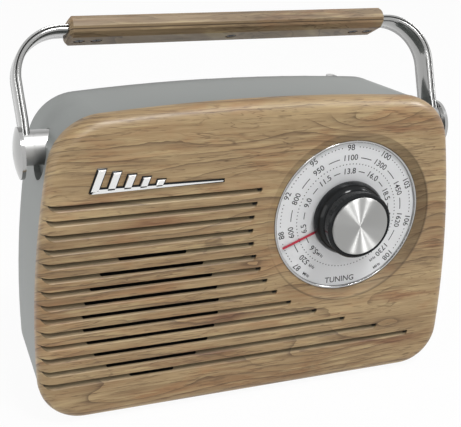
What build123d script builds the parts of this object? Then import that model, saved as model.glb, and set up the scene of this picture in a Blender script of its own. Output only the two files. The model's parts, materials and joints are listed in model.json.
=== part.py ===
from build123d import *
from math import cos, floor, radians, sin, sqrt
import os

# Portable table radio with a moulded wood-look front, a satin tub cabinet and a plated carrying handle.
# Millimetres. X to the listener's right, Y to the back, Z up. The feet stand on Z = 0.
# "Depth" is measured back from the flat face of the front panel, "height" up from the table.

# ---------------------------------------------------------------- driving dimensions
# Case outline
foot_height = 2.0          # rubber feet, table to the bottom edge of the front panel
panel_height = 185.0       # bottom edge to crown
half_width = 131.5         # widest half width
widest_height = 49.4       # height of the widest place
side_radius = 600.0        # bow of the sides
crown_radius = 1250.0      # bow of the top
bottom_corner = 26.0
top_corner = 32.0
cabinet_depth = 80.0       # panel face to back of the rear cover

# Front panel
rim_depth = 11.4           # how far the panel reaches round the sides
edge_round = 8.0
panel_wall = 5.5
rim_wall = 3.0

# Louvres and sound slots
louvre_count = 14
louvre_pitch = 8.3
first_lip_rise = 24.9      # top louvre's lip above the dial centre
louvre_depth = 3.0
louvre_height = 3.6
louvre_end_round = 3.0
louvre_ring_radius = 62.3  # upper louvres stop on this circle round the dial
low_louvre_start = 2.8     # first louvre below the circle ends this far right of the dial centre
low_louvre_step = 23.5
louvre_margin = 20.0       # plain panel kept at the right edge
first_slotted = 4
slot_height = 2.4
slot_drop = 0.2            # land left between a lip and its slot
slot_ring_radius = 41.1

# Dial
dial_inset = 74.3          # dial centre from the widest right side
dial_height = 112.1
dial_recess_radius = 53.5
dial_seat_radius = 47.9
dial_bevel_depth = 3.4
dial_seat_depth = 5.6
dial_floor = 2.4           # panel wall left behind the dial
dial_boss_wall = 4.0
bezel_width = 1.6
bezel_depth = 2.8
plate_thickness = 1.2
plate_hole_radius = 6.2
seat_gap = 0.1             # radial room of a part dropped into its seat

# Tuning knob and its drive
knob_reach = 14.2          # spun cap in front of the panel face
knob_base_radius = 23.0
knob_body_radius = 20.5
knob_waist_radius = 20.1
knob_clear = 1.0           # knob base in front of the dial plate
cap_radius = 18.5
cap_thickness = 1.6
knob_lip = 0.6             # black rim in front of the cap's seat
pointer_width = 1.3
pointer_thickness = 0.5
pointer_reach = 44.6
pointer_angle = 202.0      # degrees, counter-clockwise from the right as the listener sees it
shaft_radius = 3.0
running_gap = 0.05         # radial clearance of a shaft in its bearing
drive_radius = 13.0        # belt radius on the tuning shaft
rotor_radius = 20.0        # belt radius on the tuning capacitor
flange_height = 2.0
pulley_depth = 14.0
pulley_width = 4.0
flange_thickness = 0.8
belt_thickness = 1.2
moving_gap = 0.3           # air between parts that move past each other
rotor_offset = 44.0        # capacitor shaft to the left of the dial centre
rotor_rise = 41.7          # capacitor shaft above the board's lower edge
bush_radius = 5.0
bush_flange_radius = 8.0
bush_flange = 1.6

# Ornament on the panel, to the left above the louvres
spear_inset = 30.5         # tip from the widest left side
spear_length = 76.0
spear_rise = 5.6           # above the top louvre's lip
spear_width = 2.2
ornament_thickness = 1.4
bar_count = 5
bar_pitch = 8.6
bar_width = 3.4
bar_slant = 4.0

# Cabinet shell and rear cover
shell_step = 0.6           # shell set in from the panel edge
side_taper = 1.6
top_taper = 3.8
bottom_taper = 0.9
shell_wall = 2.6
tongue_wall = 1.4
tongue_length = 2.5
tongue_gap = 0.3
cover_thickness = 4.0
cover_round = 3.4
boss_radius = 4.5
boss_length = 14.0
boss_inset = 7.6           # screw boss centre from the outer side
upper_boss_height = 130.4
lower_boss_height = 44.4
screw_radius = 1.5
screw_head_radius = 3.0
screw_head = 1.8
screw_room = 0.1           # radial room of a screw in its hole

# Feet
foot_radius = 8.0
foot_inset = 39.5
foot_front_depth = 22.0
foot_back_depth = 66.0

# Handle
pivot_depth = 36.0
pivot_height = 159.3
handle_tilt = 26.0         # degrees, leaning back
handle_reach = 64.5        # pivot to the middle of the strap's top run
arm_inset = 3.1            # middle of the strap at the pivot, in from the widest side
arm_lean = 2.6             # how far the strap leans out over its height
arm_straight = 14.0        # upright length beside the hub
strap_width = 16.6
strap_thickness = 4.4
strap_corner = 27.0
cap_disc_drop = 2.7        # end disc's centre beyond the pivot, away from the grip
cap_disc_radius = 14.6
cap_disc_rim = 2.1
cap_disc_dome = 2.6
hub_radius = 9.8
hub_length = 12.2
hub_shaft_radius = 4.0
hub_shaft_spare = 2.2      # shaft end beyond its bearing
clip_thickness = 1.2
clip_radius = 7.0
clip_groove = 0.8
hub_boss_radius = 21.0
hub_bearing = 8.3          # length of the bearing behind the hub's well
hub_recess_radius = 18.3
hub_recess_inset = 12.3

# Grip
grip_half_length = 98.4
grip_width = 27.2
grip_flat = 17.4           # width of the flat underside
grip_top_width = 19.0
grip_below = 6.2           # grip underside below the strap's middle
grip_above = 6.0
grip_heel = 2.4            # height of the bevel beside the underside
grip_heel_width = 24.6
grip_belt = 5.4            # underside up to the widest line
grip_shoulder = 9.9       # underside up to the top bevel
grip_shoulder_width = 25.4
grip_end_bevel = 1.6
grip_screw_ends = (6.5, 16.5)
grip_screw_sink = 1.6
grip_skin = 1.5            # cover left above the screw holes

# Loudspeaker
speaker_inset = 66.2       # speaker centre from the widest left side
speaker_drop = 70.5        # below the top louvre's lip
cloth_thickness = 0.5
cloth_radius = 42.5
flange_radius = 47.0
flange_plate = 1.3
basket_opening = 38.0
basket_neck = 24.0
basket_depth = 21.0
basket_lip = 4.0
basket_windows = 4
basket_window_width = 8.0
basket_window_length = 22.0
basket_window_start = 6.0  # behind the flange
cone_wall = 0.7
coil_radius = 12.0
magnet_radius = 22.5
magnet_length = 13.0
speaker_screw_ring = 44.0
speaker_screw_sink = 1.8

# Chassis board
board_length = 104.0
board_clear = 6.0          # board edge to the hub bearing
board_bottom = 90.4
board_width = 70.0
board_depth = 34.0
board_thickness = 1.6
board_post_inset = 5.0
board_post_radius = 3.4
capacitor_size = 21.0
capacitor_length = 12.0
rod_radius = 5.0
rod_half_length = 49.0
rod_drop = 9.0             # ferrite rod below the board's top edge
rod_stand = 8.0            # rod centre behind the board
rod_clip_width = 5.0
rod_clip_inset = 14.0      # clip centre from the board's short edge
rod_clip_wall = 1.5
coil_length = 26.0
coil_wall = 1.2
screened_coils = 3
screened_coil_size = 7.0
screened_coil_height = 8.0
screened_coil_pitch = 14.0
screened_coil_offset = 18.0    # middle of the row, left of the board's middle
electrolytic_radius = 4.0
electrolytic_height = 11.0
electrolytic_offset = 36.0     # middle of the pair, right of the board's middle
electrolytic_pitch = 12.0
electrolytic_drop = 12.0
amplifier_length = 19.0
amplifier_width = 7.0
amplifier_height = 3.5
amplifier_drop = 18.0

# Controls on the right side
pad_inset = 10.5           # inner face of the pad, in from the widest side
pad_width = 26.0
pad_margin = 17.0          # pad beyond the highest and lowest control
control_depth = 46.0
volume_height = 102.4
volume_radius = 10.0
volume_stand = 2.9         # knob face beyond the widest side
volume_recess_radius = 11.5
volume_recess_inset = 5.3
volume_shaft_radius = 3.0
pot_radius = 8.5
pot_length = 9.0
band_height = 70.4
band_travel = 5.0
band_nub_length = 6.0
band_nub_width = 4.0
band_stand = 1.1
band_recess_inset = 3.9
band_recess_margin = 4.0
band_body_length = 24.0
band_body_width = 11.0
band_body_depth = 8.0
jack_height = 42.4
jack_radius = 4.0
jack_bore_radius = 1.8
jack_body = 10.0
jack_length = 13.0
jack_recess_inset = 3.3
jack_recess_radius = 7.0

# Power socket in the rear cover
power_inset = 39.5
power_height = 36.4
power_radius = 6.0
power_bore_radius = 2.8
power_bore_depth = 10.0
power_body = 13.0

# Battery bay: four C cells, two rows of two
cell_radius = 13.0
cell_length = 48.2
cell_nub = 1.6
cell_nub_radius = 3.5
cell_room = 0.6
bay_wall = 2.0
bay_bottom = 17.4
contact_thickness = 0.5
spring_length = 8.0
spring_radius = 5.0
spring_turns = 4
door_thickness = 2.6
door_gap = 0.35
trunnion_radius = 0.8
trunnion_length = 3.0
trunnion_gap = 0.07
door_ledge = 2.0
thumb_width = 24.0
thumb_height = 8.0
thumb_sink = 1.2

# Telescopic aerial on the back
aerial_inset = 50.5
aerial_drop = 12.0         # below the top edge straight above it
turret_radius = 7.0
turret_stand = 0.9         # turret behind the cover face
turret_plate = 1.4
turret_boss_radius = 4.5
turret_pin_radius = 2.5
turret_pin_length = 8.0
turret_clip_radius = 4.4
fork_gap = 6.4
fork_ear = 3.2
fork_half_width = 3.0
knuckle_radius = 2.9
aerial_pin_radius = 1.4
tube_radius = 3.0
tube_wall = 0.55
tube_start = 4.4           # tube end from the tilting pin
tube_length = 142.6
stage_step = 3.0
tip_radius = 3.0
tip_length = 6.0

# ---------------------------------------------------------------- places worked out from them
aerial_depth = turret_stand + turret_plate + moving_gap + tube_radius
aerial_reach = aerial_depth + tube_radius
face_y = (knob_reach - cabinet_depth - aerial_reach) / 2
cover_depth = cabinet_depth - cover_thickness
dial_floor_depth = dial_seat_depth + dial_floor
plate_depth = dial_seat_depth - plate_thickness
knob_back_depth = plate_depth - knob_clear
pivot_y = face_y + pivot_depth
control_y = face_y + control_depth
tilt = radians(handle_tilt)
dial_x = half_width - dial_inset
first_lip_height = dial_height + first_lip_rise
spear_left = spear_inset - half_width
spear_right = spear_left + spear_length
spear_height = first_lip_height + spear_rise
speaker_x = speaker_inset - half_width
speaker_height = first_lip_height - speaker_drop
foot_x = half_width - foot_inset
arm_x = half_width - arm_inset
arm_top_x = arm_x + arm_lean
strap_inner_x = arm_x - strap_thickness / 2
strap_outer_x = arm_x + strap_thickness / 2
hub_inner_x = strap_inner_x - hub_length
hub_boss_inner_x = hub_inner_x - hub_bearing
hub_shaft_end_x = hub_boss_inner_x - hub_shaft_spare
hub_recess_x = half_width - hub_recess_inset
board_right = hub_boss_inner_x - board_clear
board_left = board_right - board_length
board_top = board_bottom + board_width
pad_inner_x = half_width - pad_inset
volume_recess_x = half_width - volume_recess_inset
volume_reach_x = half_width + volume_stand
band_recess_x = half_width - band_recess_inset
band_reach_x = half_width + band_stand
jack_recess_x = half_width - jack_recess_inset
power_x = half_width - power_inset
aerial_x = half_width - aerial_inset
aerial_height = foot_height + panel_height - crown_radius + sqrt(crown_radius**2 - aerial_x**2) - aerial_drop
tube_near_x = aerial_x - tube_start
tube_far_x = tube_near_x - tube_length
grip_screw_half = [grip_half_length - end for end in grip_screw_ends]
grip_screw_places = [0] + grip_screw_half + [-x for x in grip_screw_half]


def sagitta(radius, run):
    """Drop of an arc of this radius at a distance from its highest point."""
    return radius - sqrt(radius**2 - run**2)


def side_x(height):
    """Half width of the front panel at a height."""
    return half_width - sagitta(side_radius, height - widest_height)


def facing(depth):
    """Plane parallel to the front panel at a depth behind its face."""
    return Plane.XZ.offset(-(face_y + depth))


def turning(x, height):
    """Plane that holds a turned part's half profile: radius along X, depth along Y."""
    return Plane(origin=(x, face_y, height), x_dir=(1, 0, 0), z_dir=(0, 0, 1))


def turning_axis(x, height):
    return Axis((x, face_y, height), (0, 1, 0))


def case_outline(side, top, bottom):
    """Outline of the case, set in by these amounts at the sides, top and bottom."""
    low = foot_height + bottom
    crown = foot_height + panel_height - top
    shoulder = crown
    for _ in range(4):
        shoulder_x = side_x(shoulder) - side
        shoulder = crown - sagitta(crown_radius, shoulder_x)
    foot_x_edge = side_x(low) - side
    widest = half_width - side
    with BuildSketch() as outline:
        with BuildLine():
            Line((-foot_x_edge, low), (foot_x_edge, low))
            ThreePointArc((foot_x_edge, low), (widest, widest_height), (shoulder_x, shoulder))
            ThreePointArc((shoulder_x, shoulder), (0, crown), (-shoulder_x, shoulder))
            ThreePointArc((-shoulder_x, shoulder), (-widest, widest_height), (-foot_x_edge, low))
        make_face()
        fillet(outline.vertices().group_by(Axis.Y)[0], radius=bottom_corner - side)
        fillet(outline.vertices().group_by(Axis.Y)[-1], radius=top_corner - side)
    return outline.sketch


def front_outline(inset):
    return case_outline(inset, inset, inset)


def back_outline(inset):
    """Outline of the shell where it meets the rear cover."""
    step = shell_step + inset
    return case_outline(step + side_taper, step + top_taper, step + bottom_taper)


def boss_places(inset):
    """Screw boss centres beside the two sides of the case."""
    places = []
    for height in (lower_boss_height, upper_boss_height):
        reach = side_x(height) - inset
        places += [(-reach, height), (reach, height)]
    return places


front_boss_places = boss_places(boss_inset)
back_boss_places = boss_places(boss_inset + side_taper)
board_posts = [
    (x, height)
    for x in (board_left + board_post_inset, board_right - board_post_inset)
    for height in (board_bottom + board_post_inset, board_top - board_post_inset)
]
speaker_screw_step = speaker_screw_ring * sqrt(0.5)
speaker_screws_at = [
    (speaker_x + sx * speaker_screw_step, speaker_height + sz * speaker_screw_step)
    for sx in (-1, 1)
    for sz in (-1, 1)
]

os.makedirs("parts", exist_ok=True)

# ---------------------------------------------------------------- front panel
# One moulding: a tray whose rounded rim wraps on to the sides, with undercut louvres that run off
# its left edge, sound slots at their roots, a bevelled dial recess and the posts of the chassis.


def louvre_end(lip):
    """Right-hand end of a louvre: on the circle round the dial, then stepping out below it."""
    drop = dial_height - lip + louvre_height / 2
    if abs(drop) < louvre_ring_radius:
        return dial_x - sqrt(louvre_ring_radius**2 - drop**2)
    steps = floor((abs(drop) - louvre_ring_radius) / louvre_pitch)
    return min(dial_x + low_louvre_start + steps * low_louvre_step, side_x(lip) - louvre_margin)


def louvre(index):
    """The groove under one lip: square above, sloping out to the face below."""
    lip = first_lip_height - index * louvre_pitch
    left = -half_width - edge_round
    right = louvre_end(lip)
    slope = louvre_height / louvre_depth
    with BuildPart() as groove:
        with BuildSketch(Plane.YZ.offset(left)):
            with BuildLine():
                Polyline(
                    (face_y - 1, lip),
                    (face_y + louvre_depth, lip),
                    (face_y - 1, lip - louvre_height - slope),
                    close=True,
                )
            make_face()
        extrude(amount=right - left)
        with BuildSketch(facing(-1)) as front_view:
            with Locations(((left + right) / 2, lip - louvre_height / 2)):
                Rectangle(right - left, louvre_height)
            corner = front_view.vertices().sort_by(Axis.X)[-2:].sort_by(Axis.Y)[0]
            fillet(corner, radius=louvre_end_round)
        extrude(amount=-louvre_depth - 2, mode=Mode.INTERSECT)
    return groove.part


with BuildPart() as front_panel:
    with BuildSketch(facing(0)):
        add(front_outline(0))
    extrude(amount=-rim_depth)
    fillet(front_panel.faces().sort_by(Axis.Y)[0].edges(), radius=edge_round)
    with BuildSketch(facing(panel_wall)):
        add(front_outline(rim_wall))
    extrude(amount=panel_wall - rim_depth, mode=Mode.SUBTRACT)
    for index in range(louvre_count):
        add(louvre(index), mode=Mode.SUBTRACT)
    with BuildSketch(facing(-1)):
        for index in range(first_slotted, louvre_count):
            slot_at = first_lip_height - index * louvre_pitch - slot_drop - slot_height / 2
            half_slot = sqrt(slot_ring_radius**2 - (slot_at - speaker_height) ** 2)
            with Locations((speaker_x, slot_at)):
                SlotOverall(2 * half_slot, slot_height)
    extrude(amount=-panel_wall - 2, mode=Mode.SUBTRACT)
    with BuildSketch(turning(dial_x, dial_height)):
        with BuildLine():
            Polyline(
                (0, panel_wall - 1),
                (dial_seat_radius + dial_boss_wall, panel_wall - 1),
                (dial_seat_radius + dial_boss_wall, dial_floor_depth),
                (0, dial_floor_depth),
                close=True,
            )
        make_face()
    revolve(axis=turning_axis(dial_x, dial_height))
    with BuildSketch(facing(panel_wall - 1)):
        with Locations(*board_posts):
            Circle(board_post_radius)
    extrude(amount=panel_wall - 1 - board_depth)
    with BuildSketch(turning(dial_x, dial_height)):
        with BuildLine():
            Polyline(
                (0, -1),
                (dial_recess_radius, -1),
                (dial_recess_radius, 0),
                (dial_seat_radius, dial_bevel_depth),
                (dial_seat_radius, dial_seat_depth),
                (bush_radius + seat_gap, dial_seat_depth),
                (bush_radius + seat_gap, dial_floor_depth + 1),
                (0, dial_floor_depth + 1),
                close=True,
            )
        make_face()
    revolve(axis=turning_axis(dial_x, dial_height), mode=Mode.SUBTRACT)
    with BuildSketch(facing(board_depth - boss_length)):
        with Locations(*board_posts):
            Circle(screw_radius)
    extrude(amount=-boss_length, mode=Mode.SUBTRACT)
    with BuildSketch(facing(panel_wall - 1)):
        with Locations(*front_boss_places):
            Circle(boss_radius)
    extrude(amount=panel_wall - 1 - rim_depth - tongue_length)
    with BuildSketch(facing(panel_wall)):
        with Locations(*front_boss_places):
            Circle(screw_radius)
    extrude(amount=panel_wall - rim_depth - tongue_length, mode=Mode.SUBTRACT)
    with BuildSketch(facing(panel_wall - speaker_screw_sink)):
        with Locations(*speaker_screws_at):
            Circle(screw_radius)
    extrude(amount=-speaker_screw_sink, mode=Mode.SUBTRACT)
front_panel.part.label = "front_panel"
export_step(front_panel.part, "parts/front_panel.step")

# ---------------------------------------------------------------- plated ornament
# A tapering spear under five slanted bars that shrink along it.

with BuildPart() as panel_ornament:
    with BuildSketch(facing(0)):
        with BuildLine():
            Polyline(
                (spear_left, spear_height),
                (spear_left + bar_slant, spear_height + spear_width),
                (spear_right - bar_pitch, spear_height + spear_width * 0.7),
                (spear_right, spear_height + spear_width / 2),
                (spear_right - bar_pitch, spear_height),
                close=True,
            )
        make_face()
        for index in range(bar_count):
            bar_left = spear_left + bar_slant / 2 + index * bar_pitch
            bar_top = spear_height + spear_width + (bar_count - index) * spear_width
            lean = bar_slant * (bar_top - spear_height) / (bar_count * spear_width)
            with BuildLine():
                Polyline(
                    (bar_left, spear_height + spear_width / 2),
                    (bar_left + bar_width, spear_height + spear_width / 2),
                    (bar_left + bar_width + lean, bar_top),
                    (bar_left + lean, bar_top),
                    close=True,
                )
            make_face()
    extrude(amount=ornament_thickness)
panel_ornament.part.label = "panel_ornament"
export_step(panel_ornament.part, "parts/panel_ornament.step")

# ---------------------------------------------------------------- dial

bezel_outer = dial_seat_radius - seat_gap
bezel_inner = bezel_outer - bezel_width
with BuildPart() as dial_bezel:
    with BuildSketch(turning(dial_x, dial_height)) as bezel_profile:
        with Locations(((bezel_outer + bezel_inner) / 2, dial_seat_depth - bezel_depth / 2)):
            Rectangle(bezel_width, bezel_depth)
        fillet(bezel_profile.vertices().group_by(Axis.Y)[0], radius=bezel_width * 0.45)
    revolve(axis=turning_axis(dial_x, dial_height))
dial_bezel.part.label = "dial_bezel"
export_step(dial_bezel.part, "parts/dial_bezel.step")

with BuildPart() as dial_plate:
    with BuildSketch(facing(plate_depth)):
        with Locations((dial_x, dial_height)):
            Circle(bezel_inner - seat_gap)
            Circle(plate_hole_radius, mode=Mode.SUBTRACT)
    extrude(amount=-plate_thickness)
dial_plate.part.label = "dial_plate"
export_step(dial_plate.part, "parts/dial_plate.step")

bush_front = knob_back_depth + moving_gap
with BuildPart() as tuning_bush:
    with BuildSketch(turning(dial_x, dial_height)):
        with BuildLine():
            Polyline(
                (shaft_radius + running_gap, bush_front),
                (bush_radius, bush_front),
                (bush_radius, dial_floor_depth),
                (bush_flange_radius, dial_floor_depth),
                (bush_flange_radius, dial_floor_depth + bush_flange),
                (bush_radius, dial_floor_depth + bush_flange),
                (bush_radius, pulley_depth - moving_gap),
                (shaft_radius + running_gap, pulley_depth - moving_gap),
                close=True,
            )
        make_face()
    revolve(axis=turning_axis(dial_x, dial_height))
tuning_bush.part.label = "tuning_bush"
export_step(tuning_bush.part, "parts/tuning_bush.step")

# ---------------------------------------------------------------- tuning knob

cap_seat_depth = -knob_reach + cap_thickness
knob_front_depth = cap_seat_depth - knob_lip
knob_bore = shaft_radius + seat_gap / 4
with BuildPart() as tuning_knob:
    with BuildSketch(turning(dial_x, dial_height)):
        with BuildLine():
            Polyline(
                (knob_base_radius - 0.6, knob_back_depth),
                (knob_bore, knob_back_depth),
                (knob_bore, cap_seat_depth + 2),
                (0, cap_seat_depth + 2),
                (0, cap_seat_depth),
                (cap_radius + seat_gap, cap_seat_depth),
                (cap_radius + seat_gap, knob_front_depth),
                (knob_body_radius - 0.7, knob_front_depth),
                (knob_body_radius, knob_front_depth + 0.9),
                (knob_waist_radius, knob_back_depth - 9.0),
            )
            ThreePointArc(
                (knob_waist_radius, knob_back_depth - 9.0),
                (knob_waist_radius + 2.0, knob_back_depth - 6.2),
                (knob_base_radius, knob_back_depth - 1.2),
            )
            Line((knob_base_radius, knob_back_depth - 1.2), (knob_base_radius - 0.6, knob_back_depth))
        make_face()
    revolve(axis=turning_axis(dial_x, dial_height))
tuning_knob.part.label = "tuning_knob"
export_step(tuning_knob.part, "parts/tuning_knob.step")

with BuildPart() as knob_cap:
    with BuildSketch(turning(dial_x, dial_height)):
        with BuildLine():
            Polyline(
                (0, cap_seat_depth),
                (cap_radius, cap_seat_depth),
                (cap_radius, -knob_reach + 0.5),
                (cap_radius - 0.5, -knob_reach),
                (0, -knob_reach + 0.4),
                close=True,
            )
        make_face()
    revolve(axis=turning_axis(dial_x, dial_height))
knob_cap.part.label = "knob_cap"
export_step(knob_cap.part, "parts/knob_cap.step")

# The pointer is a thin blade screwed flat under the knob.
with BuildPart() as dial_pointer:
    with BuildSketch(facing(knob_back_depth)):
        with Locations((dial_x, dial_height)):
            with PolarLocations(0, 1, start_angle=pointer_angle):
                with Locations(((pointer_reach + bush_flange_radius) / 2, 0)):
                    Rectangle(pointer_reach - bush_flange_radius, pointer_width)
    extrude(amount=-pointer_thickness)
dial_pointer.part.label = "dial_pointer"
export_step(dial_pointer.part, "parts/dial_pointer.step")

shaft_back_depth = pulley_depth + pulley_width + 1.5
with BuildPart() as tuning_shaft:
    with BuildSketch(facing(cap_seat_depth + 2)):
        with Locations((dial_x, dial_height)):
            Circle(shaft_radius)
    extrude(amount=cap_seat_depth + 2 - shaft_back_depth)
tuning_shaft.part.label = "tuning_shaft"
export_step(tuning_shaft.part, "parts/tuning_shaft.step")


def pulley_profile(belt_radius, bore):
    """Half section of a flanged pulley, as radius and depth."""
    rim = belt_radius + flange_height
    near = pulley_depth + flange_thickness
    far = pulley_depth + pulley_width - flange_thickness
    return [
        (bore, pulley_depth),
        (rim, pulley_depth),
        (rim, near),
        (belt_radius, near),
        (belt_radius, far),
        (rim, far),
        (rim, pulley_depth + pulley_width),
        (bore, pulley_depth + pulley_width),
    ]


with BuildPart() as tuning_pulley:
    with BuildSketch(turning(dial_x, dial_height)):
        with BuildLine():
            Polyline(*pulley_profile(drive_radius, shaft_radius + seat_gap / 4), close=True)
        make_face()
    revolve(axis=turning_axis(dial_x, dial_height))
tuning_pulley.part.label = "tuning_pulley"
export_step(tuning_pulley.part, "parts/tuning_pulley.step")

# ---------------------------------------------------------------- tuning capacitor and belt

rotor_x = dial_x - rotor_offset
rotor_height = board_bottom + rotor_rise
capacitor_front = board_depth - capacitor_length
with BuildPart() as rotor_pulley:
    with BuildSketch(turning(rotor_x, rotor_height)):
        with BuildLine():
            Polyline(*pulley_profile(rotor_radius, 0), close=True)
        make_face()
    revolve(axis=turning_axis(rotor_x, rotor_height))
    with BuildSketch(facing(pulley_depth + pulley_width)):
        with Locations((rotor_x, rotor_height)):
            Circle(shaft_radius)
    extrude(amount=pulley_depth + pulley_width - capacitor_front - capacitor_length / 2)
rotor_pulley.part.label = "rotor_pulley"
export_step(rotor_pulley.part, "parts/rotor_pulley.step")

with BuildPart() as tuning_capacitor:
    with BuildSketch(facing(capacitor_front)):
        with Locations((rotor_x, rotor_height)):
            RectangleRounded(capacitor_size, capacitor_size, 1.5)
    extrude(amount=-capacitor_length)
    with BuildSketch(facing(capacitor_front)):
        with Locations((rotor_x, rotor_height)):
            Circle(shaft_radius + running_gap)
    extrude(amount=-capacitor_length / 2 - moving_gap, mode=Mode.SUBTRACT)
tuning_capacitor.part.label = "tuning_capacitor"
export_step(tuning_capacitor.part, "parts/tuning_capacitor.step")

belt_front = pulley_depth + flange_thickness + moving_gap
belt_back = pulley_depth + pulley_width - flange_thickness - moving_gap


def belt_loop(gap):
    """The outline that wraps both pulleys at this distance from their grooves."""
    with BuildSketch() as loop:
        with Locations((dial_x, dial_height)):
            Circle(drive_radius + gap)
        with Locations((rotor_x, rotor_height)):
            Circle(rotor_radius + gap)
        make_hull()
    return loop.sketch


with BuildPart() as drive_belt:
    with BuildSketch(facing(belt_front)):
        add(belt_loop(moving_gap + belt_thickness))
        add(belt_loop(moving_gap), mode=Mode.SUBTRACT)
    extrude(amount=belt_front - belt_back)
drive_belt.part.label = "drive_belt"
export_step(drive_belt.part, "parts/drive_belt.step")

# ---------------------------------------------------------------- loudspeaker

flange_front = panel_wall + cloth_thickness
flange_back = flange_front + flange_plate
basket_back = flange_front + basket_depth
with BuildPart() as speaker_cloth:
    with BuildSketch(facing(panel_wall)):
        with Locations((speaker_x, speaker_height)):
            Circle(cloth_radius)
    extrude(amount=-cloth_thickness)
speaker_cloth.part.label = "speaker_cloth"
export_step(speaker_cloth.part, "parts/speaker_cloth.step")

with BuildPart() as speaker_frame:
    with BuildSketch(turning(speaker_x, speaker_height)):
        with BuildLine():
            Polyline(
                (basket_opening, flange_front),
                (flange_radius, flange_front),
                (flange_radius, flange_back),
                (basket_opening + flange_plate, flange_back),
                (basket_opening + flange_plate, flange_back + basket_lip),
                (basket_neck + flange_plate, basket_back),
                (coil_radius + 1, basket_back),
                (coil_radius + 1, basket_back - flange_plate),
                (basket_neck, basket_back - flange_plate),
                (basket_opening, flange_back + basket_lip - flange_plate / 2),
                close=True,
            )
        make_face()
    revolve(axis=turning_axis(speaker_x, speaker_height))
    window_middle = (basket_opening + basket_neck) / 2 + flange_plate
    with BuildSketch(facing(flange_back + basket_window_start)):
        with Locations((speaker_x, speaker_height)):
            with PolarLocations(window_middle, basket_windows, start_angle=45):
                RectangleRounded(basket_window_width, basket_window_length, basket_window_width * 0.4)
    extrude(amount=flange_back + basket_window_start - basket_back, mode=Mode.SUBTRACT)
    with BuildSketch(facing(flange_front)):
        with Locations(*speaker_screws_at):
            Circle(screw_radius + screw_room)
    extrude(amount=-flange_plate, mode=Mode.SUBTRACT)
speaker_frame.part.label = "speaker_frame"
export_step(speaker_frame.part, "parts/speaker_frame.step")

cone_front = flange_front + 1.6
cone_back = basket_back - 6.0
with BuildPart() as speaker_cone:
    with BuildSketch(turning(speaker_x, speaker_height)):
        with BuildLine():
            Polyline(
                (basket_opening - seat_gap, cone_front),
                (basket_opening - 3, cone_front - 0.9),
                (basket_opening - 6, cone_front),
                (coil_radius, cone_back),
                (coil_radius, basket_back + 1),
                (coil_radius - cone_wall, basket_back + 1),
                (coil_radius - cone_wall, cone_back - cone_wall / 2),
                (basket_opening - 6, cone_front - cone_wall),
                (basket_opening - 3, cone_front - 0.9 - cone_wall / 2),
                (basket_opening - seat_gap, cone_front - cone_wall),
                close=True,
            )
        make_face()
    revolve(axis=turning_axis(speaker_x, speaker_height))
speaker_cone.part.label = "speaker_cone"
export_step(speaker_cone.part, "parts/speaker_cone.step")

with BuildPart() as dust_cap:
    with BuildSketch(turning(speaker_x, speaker_height)):
        with BuildLine():
            ThreePointArc(
                (0, cone_back - 6.0),
                (coil_radius * 0.55, cone_back - 4.7),
                (coil_radius - cone_wall - seat_gap, cone_back - 1.0),
            )
            Polyline(
                (coil_radius - cone_wall - seat_gap, cone_back - 1.0),
                (coil_radius - cone_wall - seat_gap, cone_back),
                (0, cone_back),
                (0, cone_back - 6.0),
            )
        make_face()
    revolve(axis=turning_axis(speaker_x, speaker_height))
dust_cap.part.label = "dust_cap"
export_step(dust_cap.part, "parts/dust_cap.step")

with BuildPart() as speaker_magnet:
    with BuildSketch(turning(speaker_x, speaker_height)):
        with BuildLine():
            Polyline(
                (0, basket_back + 2),
                (coil_radius - cone_wall - 0.5, basket_back + 2),
                (coil_radius - cone_wall - 0.5, basket_back + 3),
                (coil_radius + 1, basket_back + 3),
                (coil_radius + 1, basket_back),
                (magnet_radius, basket_back),
                (magnet_radius, basket_back + magnet_length),
                (0, basket_back + magnet_length),
                close=True,
            )
        make_face()
    revolve(axis=turning_axis(speaker_x, speaker_height))
speaker_magnet.part.label = "speaker_magnet"
export_step(speaker_magnet.part, "parts/speaker_magnet.step")

with BuildPart() as speaker_screws:
    with BuildSketch(facing(flange_back)):
        with Locations(*speaker_screws_at):
            Circle(screw_head_radius)
    extrude(amount=-screw_head)
    with BuildSketch(facing(flange_back)):
        with Locations(*speaker_screws_at):
            Circle(screw_radius - screw_room / 4)
    extrude(amount=flange_back - panel_wall + speaker_screw_sink)
speaker_screws.part.label = "speaker_screws"
export_step(speaker_screws.part, "parts/speaker_screws.step")

# ---------------------------------------------------------------- cabinet shell
# A tapered tub wall open at both ends, with a tongue that centres the front panel, screw bosses,
# a bearing boss for each handle hub and a thick pad behind the controls on the right side.

handle_axis = Axis((0, pivot_y, pivot_height), (1, 0, 0))


def shell_block(inset):
    """Solid between the front and back outlines of the shell, set in by an amount."""
    with BuildPart() as block:
        with BuildSketch(facing(rim_depth)):
            add(front_outline(shell_step + inset))
        with BuildSketch(facing(cover_depth)):
            add(back_outline(inset))
        loft()
    return block.part


shell_outside = shell_block(0)
shell_inside = shell_block(shell_wall)

with BuildPart() as hub_bosses:
    with BuildSketch(Plane.YZ.offset(hub_boss_inner_x)):
        with Locations((pivot_y, pivot_height)):
            Circle(hub_boss_radius)
    extrude(amount=half_width - hub_boss_inner_x)
    mirror(about=Plane.YZ)
    add(shell_outside, mode=Mode.INTERSECT)

with BuildPart() as control_pad:
    with BuildSketch(Plane.YZ.offset(pad_inner_x)):
        with Locations((control_y, (volume_height + jack_height) / 2)):
            Rectangle(pad_width, volume_height - jack_height + 2 * pad_margin)
    extrude(amount=half_width - pad_inner_x)
    add(shell_outside, mode=Mode.INTERSECT)

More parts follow.
